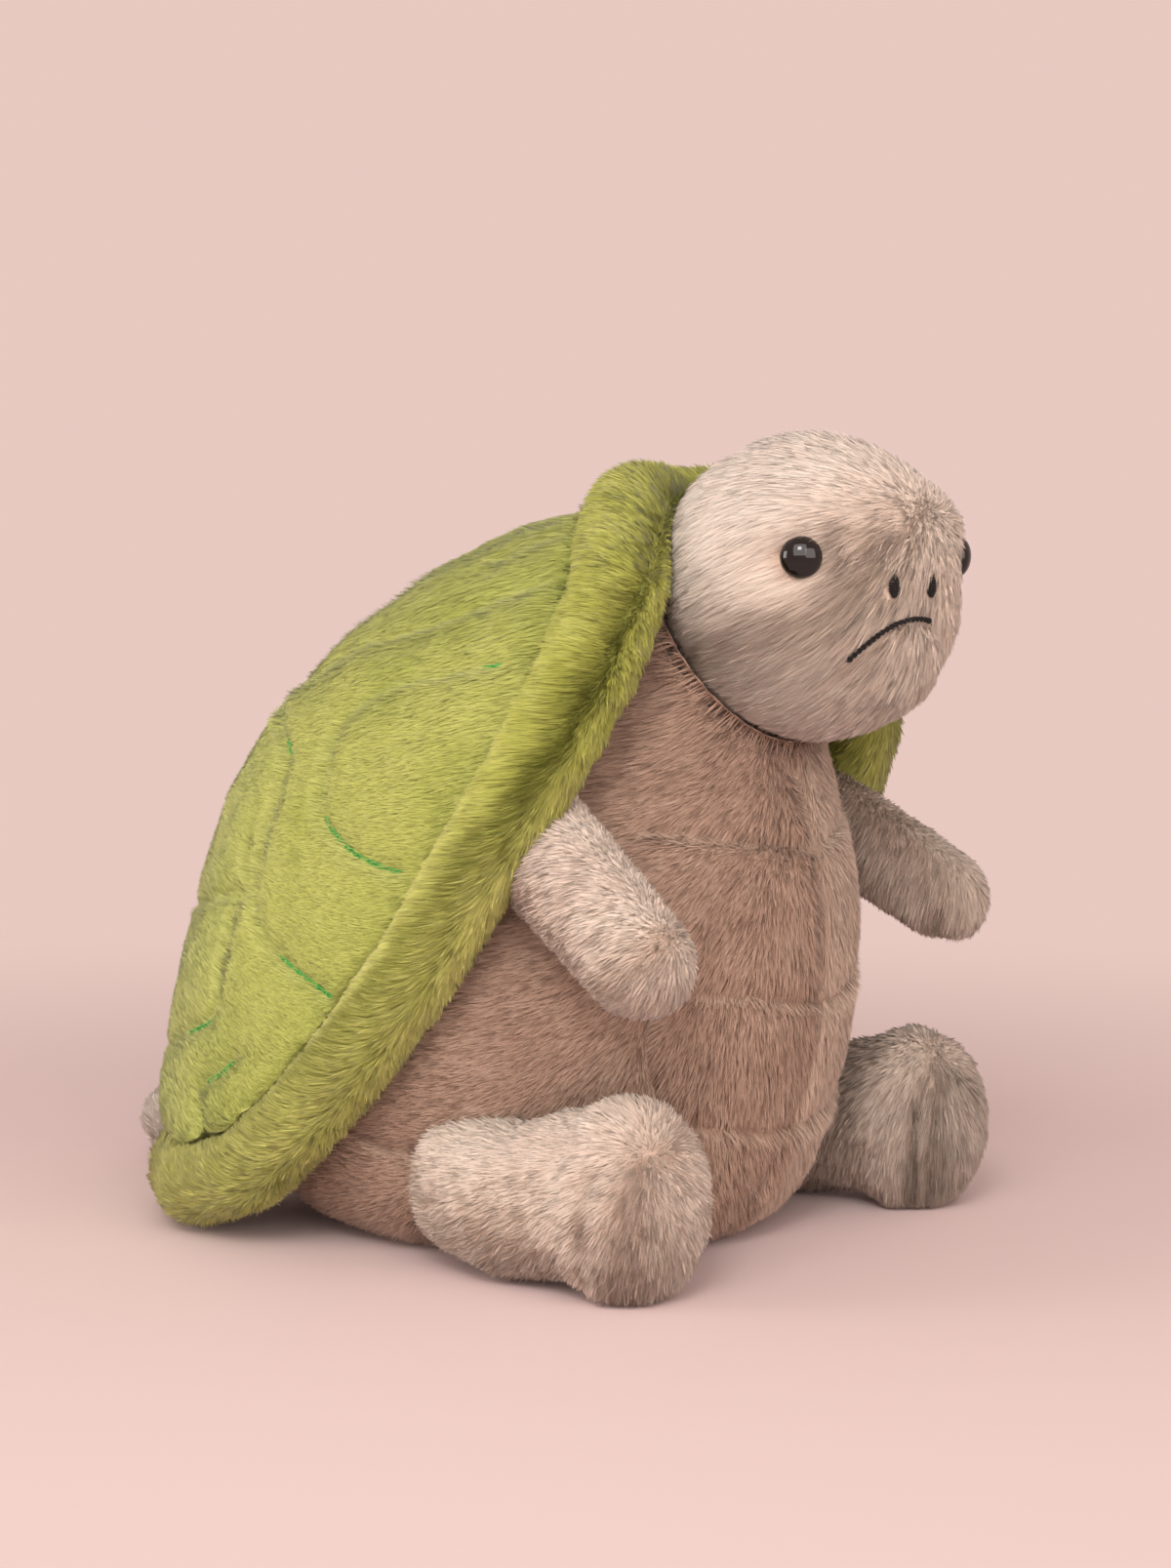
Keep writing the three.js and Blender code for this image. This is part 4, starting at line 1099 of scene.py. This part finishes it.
def rim_frame(points, normals):
    """For each point of the roll: the way along it and down, and how far round it lies from the parting."""
    half = np.array(RIM_SHARES) * (RIM_WIDE, -RIM_LONG, RIM_TALL) - (0, RIM_SHIFT, 0)
    line = resampled(rounded(np.concatenate([half, half[-2:0:-1] * (-1, 1, 1), half[:1]]), 3), 3)
    nearest = np.array([np.argmin(((line - point) ** 2).sum(1)) for point in points])
    along = unit(np.roll(line, -2, axis=0) - np.roll(line, 2, axis=0))[nearest]
    along = np.where(along[:, 2:3] > 0, -along, along)
    inward = unit(across_of(np.array((0.0, 55.0, 150.0)) - line[nearest], along))  # to under the shell's crown
    side = np.cross(along, inward)
    side = np.where((side * np.array((0.0, -1.0, 0.0))).sum(1, keepdims=True) < 0, -side, side)
    out = unit(across_of(normals, along))
    turn = np.arctan2((out * side).sum(1), -(out * inward).sum(1))
    return along, inward, side, turn


def pile_on_rim():
    """The nap parts on the side away from the dome and lies down to both sides of the parting."""
    points, normals = points_of(rim), normals_of(rim)
    along, inward, side, turn = rim_frame(points, normals)
    keep = ease(room_around(rim, [shell, torso, head, *arms.values()]), -1.0, 1.5) * ease(points[:, 2], 1.0, 4.0)
    # round the roll, the way in which the turn grows
    across = side * np.cos(turn)[:, None] + inward * np.sin(turn)[:, None]
    off_parting = turn - 0.12
    low = ease(-points[:, 2], -190, -120)
    flow = tangent(normals, across * np.tanh(off_parting / 0.16)[:, None] + along * (0.35 + 0.75 * low)[:, None])
    inner = ease(-turn, 0.4, 1.2)
    length = 3.8 + 1.2 * fall(off_parting, 0.7) - 0.8 * inner
    # painted shade along the parting and on the upper and inner roll; the lower roll is made paler as painted light
    crease = fall(off_parting, 0.16) * (1 - 0.75 * low)
    pile("rim_pile", rim, "torso", "shell_plush", "rim_pile", 17, per_mm2=3.1, width=0.31, clump=1.9,
         keep=keep, flow=flow, length=length * (0.45 + 0.55 * ease(room_around(rim, [head]), 1, 10)),
         lean=0.72 - 0.3 * fall(off_parting, 0.35) + 0.2 * inner,
         shade=0.6 * crease + (0.12 + 0.15 * ease(turn, 0.3, 1.2)) * (1 - low), speck=0.3, pale=0.6 * low)


def pile_on_head():
    points, normals = points_of(head), normals_of(head)
    aside, rise = face_angles(points)
    mouth_gap, mouth_above = off_lines(points, [mouth_line()])
    keep = ease(room_around(head, [rim, torso]), -0.5, 1.5)
    keep = keep * np.where(mouth_above > 0, ease(mouth_gap, 0.5, 1.3), 1)
    front = ease(np.hypot(aside, rise + 0.15), 1.25, 0.55)
    length = 3.4 - 0.5 * front
    for sign in (-1, 1):
        eye = far_from_face(points, sign * EYE_ASIDE, EYE_RISE)
        nose = far_from_face(points, NOSTRIL_ASIDE[sign], 0.0)
        keep = keep * ease(eye, 6.2, 7.4) * ease(nose, 2.6, 4.0)
        length = length * (0.45 + 0.55 * ease(eye, 7, 15)) * (0.45 + 0.55 * ease(nose, 3, 10))
        length = length + 1.6 * nearness(sign * aside, rise, 1.0, 0.44, 0.40, 0.16)  # longer on the brow
    # painted shade in the forehead's cleft and along the mouth, and painted shadow on the chin
    chin = nearness(aside, rise, -0.05, -0.72, 0.16, 0.12)
    cleft = fall(distance_to(points, [face_point(CLEFT_ASIDE, CLEFT_RISE)]), 2.2)
    nose_tip = face_point(0.0, 0.06)
    pile("head_pile", head, "head", "limb_plush", "body_pile", 19, per_mm2=3.6, clump=1.6, curl=2.4, keep=keep,
         flow=tangent(normals, unit(points - nose_tip) + np.array((0.0, 0.2, -0.65))),
         length=length * (0.55 + 0.45 * ease(mouth_gap, 0, 7)), lean=0.95 - 0.15 * front,
         shade=0.35 * cleft + 0.3 * chin + 0.45 * fall(mouth_gap, 1.6),
         speck=0.08 + 0.5 * front, swirl=0.6 + 0.7 * front, pale=0.5 * (1 - front))


def pile_on_arm(side, seed, shade):
    room = room_around(arms[side], [torso, shell, rim])
    along = unit(np.array((SIGN[side] * 19.0, -62.0, -41.0)))
    flow = tangent(normals_of(arms[side]), along + np.array((0.0, 0.0, -0.35)))
    pile(f"arm_pile_{side}", arms[side], f"arm_{side}", "limb_plush", "body_pile", seed, per_mm2=3.4, clump=1.7,
         keep=ease(room, -0.5, 0.8), flow=flow, length=3.2 - 1.2 * ease(-room, -3.5, -0.5), lean=0.85,
         shade=shade, speck=0.4, swirl=0.8)


def pile_on_leg(side, seed, shade):
    """The nap runs out from a whorl on the sole."""
    leg = legs[side]
    points, normals = points_of(leg), normals_of(leg)
    gap = distance_to(points, sole_laid[side])
    keep = ease(room_around(leg, [torso, rim]), 0.2, 1.5) * ease(gap, 0.4, 1.1) * ease(points[:, 2], 0.8, 3.0)
    away = points - WHORL[side]
    reach = np.linalg.norm(away, axis=1)
    near = fall(reach, 60)[:, None]
    flow = tangent(normals, unit(away) * (0.35 + near) + np.array((0.0, 0.25, -0.55)) * (1 - near))
    # painted shade along the sole's seam and in the whorl, plus the shade given
    pile(f"leg_pile_{side}", leg, f"leg_{side}", "limb_plush", "body_pile", seed, keep=keep, flow=flow,
         length=3.7 - 0.6 * fall(gap, 3), lean=0.85 - 0.25 * fall(reach, 8),
         shade=0.5 * fall(gap, 1.8) + 0.25 * fall(reach, 6) + shade, speck=0.35, swirl=0.8)


def pile_on_tail():
    keep = ease(room_around(tail, [torso, shell, rim]), 0.0, 1.5) * ease(points_of(tail)[:, 2], 0.8, 3.0)
    pile("tail_pile", tail, "tail", "limb_plush", "body_pile", 41, keep=keep,
         flow=tangent(normals_of(tail), np.array((0.0, 1.0, -0.35))), length=3.4, lean=0.65, pale=0.6)


def pile_on_neck():
    points, normals = points_of(neck), normals_of(neck)
    outward = ((points - (HEAD + np.array((0.0, 25.0, -25.0)))) * normals).sum(1)
    keep = ease(room_around(neck, [torso, head]), -0.3, 0.6) * ease(outward, 0, 6)
    pile("neck_pile", neck, "neck", "torso_plush", "torso_pile", 43, per_mm2=3.4, width=0.40, bent=False, clump=1.7,
         keep=keep, flow=tangent(normals, np.array((0.0, 0.0, -1.0))), length=2.5, lean=0.6, speck=0.5, swirl=0.7)


pile_on_torso()
pile_on_shell()
pile_on_rim()
pile_on_head()
pile_on_tail()
pile_on_neck()
# the left arm and leg get painted shadow, as though the body shades them
pile_on_arm("left", 23, 0.15)
pile_on_leg("left", 31, 0.35)
pile_on_arm("right", 29, 0.0)
pile_on_leg("right", 37, 0.0)


# ---- Floor, backdrop and light

def make_floor():
    bpy.ops.object.select_all(action="DESELECT")
    bpy.ops.mesh.primitive_plane_add(size=8, location=(0, 0, 0))
    floor = bpy.context.object
    floor.name = "paper_floor"
    floor.data.materials.append(paper_sweep("paper_floor", FLOOR_PINK, BACKDROP_PINK))


def make_world():
    """The backdrop's pink where it is seen or mirrored, and a soft light from all round for the rest."""
    world = bpy.data.worlds.new("room")
    scene.world = world
    world.use_nodes = True
    tree = world.node_tree
    tree.nodes.clear()
    path = tree.nodes.new("ShaderNodeLightPath")
    seen = path.outputs["Is Camera Ray"]
    for ray in ("Is Glossy Ray", "Is Transmission Ray"):
        either = tree.nodes.new("ShaderNodeMath")
        either.operation = "MAXIMUM"
        tree.links.new(seen, either.inputs[0])
        tree.links.new(path.outputs[ray], either.inputs[1])
        seen = either.outputs[0]
    mixer, out = tree.nodes.new("ShaderNodeMixShader"), tree.nodes.new("ShaderNodeOutputWorld")
    tree.links.new(seen, mixer.inputs[0])
    for spot, colour, strength in ((1, ROOM_LIGHT, ROOM_STRENGTH), (2, BACKDROP_PINK, 1.0)):
        light = tree.nodes.new("ShaderNodeBackground")
        light.inputs["Color"].default_value = (*colour, 1)
        light.inputs["Strength"].default_value = strength
        tree.links.new(light.outputs[0], mixer.inputs[spot])
    tree.links.new(mixer.outputs[0], out.inputs[0])


def make_lamp(name, place, aim, size, power, colour):
    data = bpy.data.lights.new(name, "AREA")
    data.shape, data.size, data.energy, data.color = "SQUARE", size, power, colour
    lamp = bpy.data.objects.new(name, data)
    lamp.location = place
    lamp.rotation_euler = (Vector(aim) - Vector(place)).to_track_quat("-Z", "Y").to_euler()
    lamp.visible_camera = False
    scene.collection.objects.link(lamp)


make_floor()
make_world()
make_lamp("window", (-1.60, -0.90, 1.02), (0, -0.02, 0.10), size=1.7, power=25, colour=(1.0, 0.98, 0.95))
make_lamp("back_window", (-1.45, 1.15, 0.42), (0, 0, 0.12), size=0.8, power=12, colour=(1.0, 0.98, 0.94))
make_lamp("front_fill", (-0.7, -1.9, 0.45), (0, 0, 0.12), size=1.5, power=20, colour=(1.0, 0.91, 0.85))
make_lamp("bright_pane", (-1.50, -0.84, 1.12), (0, -0.10, 0.20), size=0.42, power=8, colour=(1.0, 0.985, 0.965))

scene.view_settings.view_transform = "Standard"
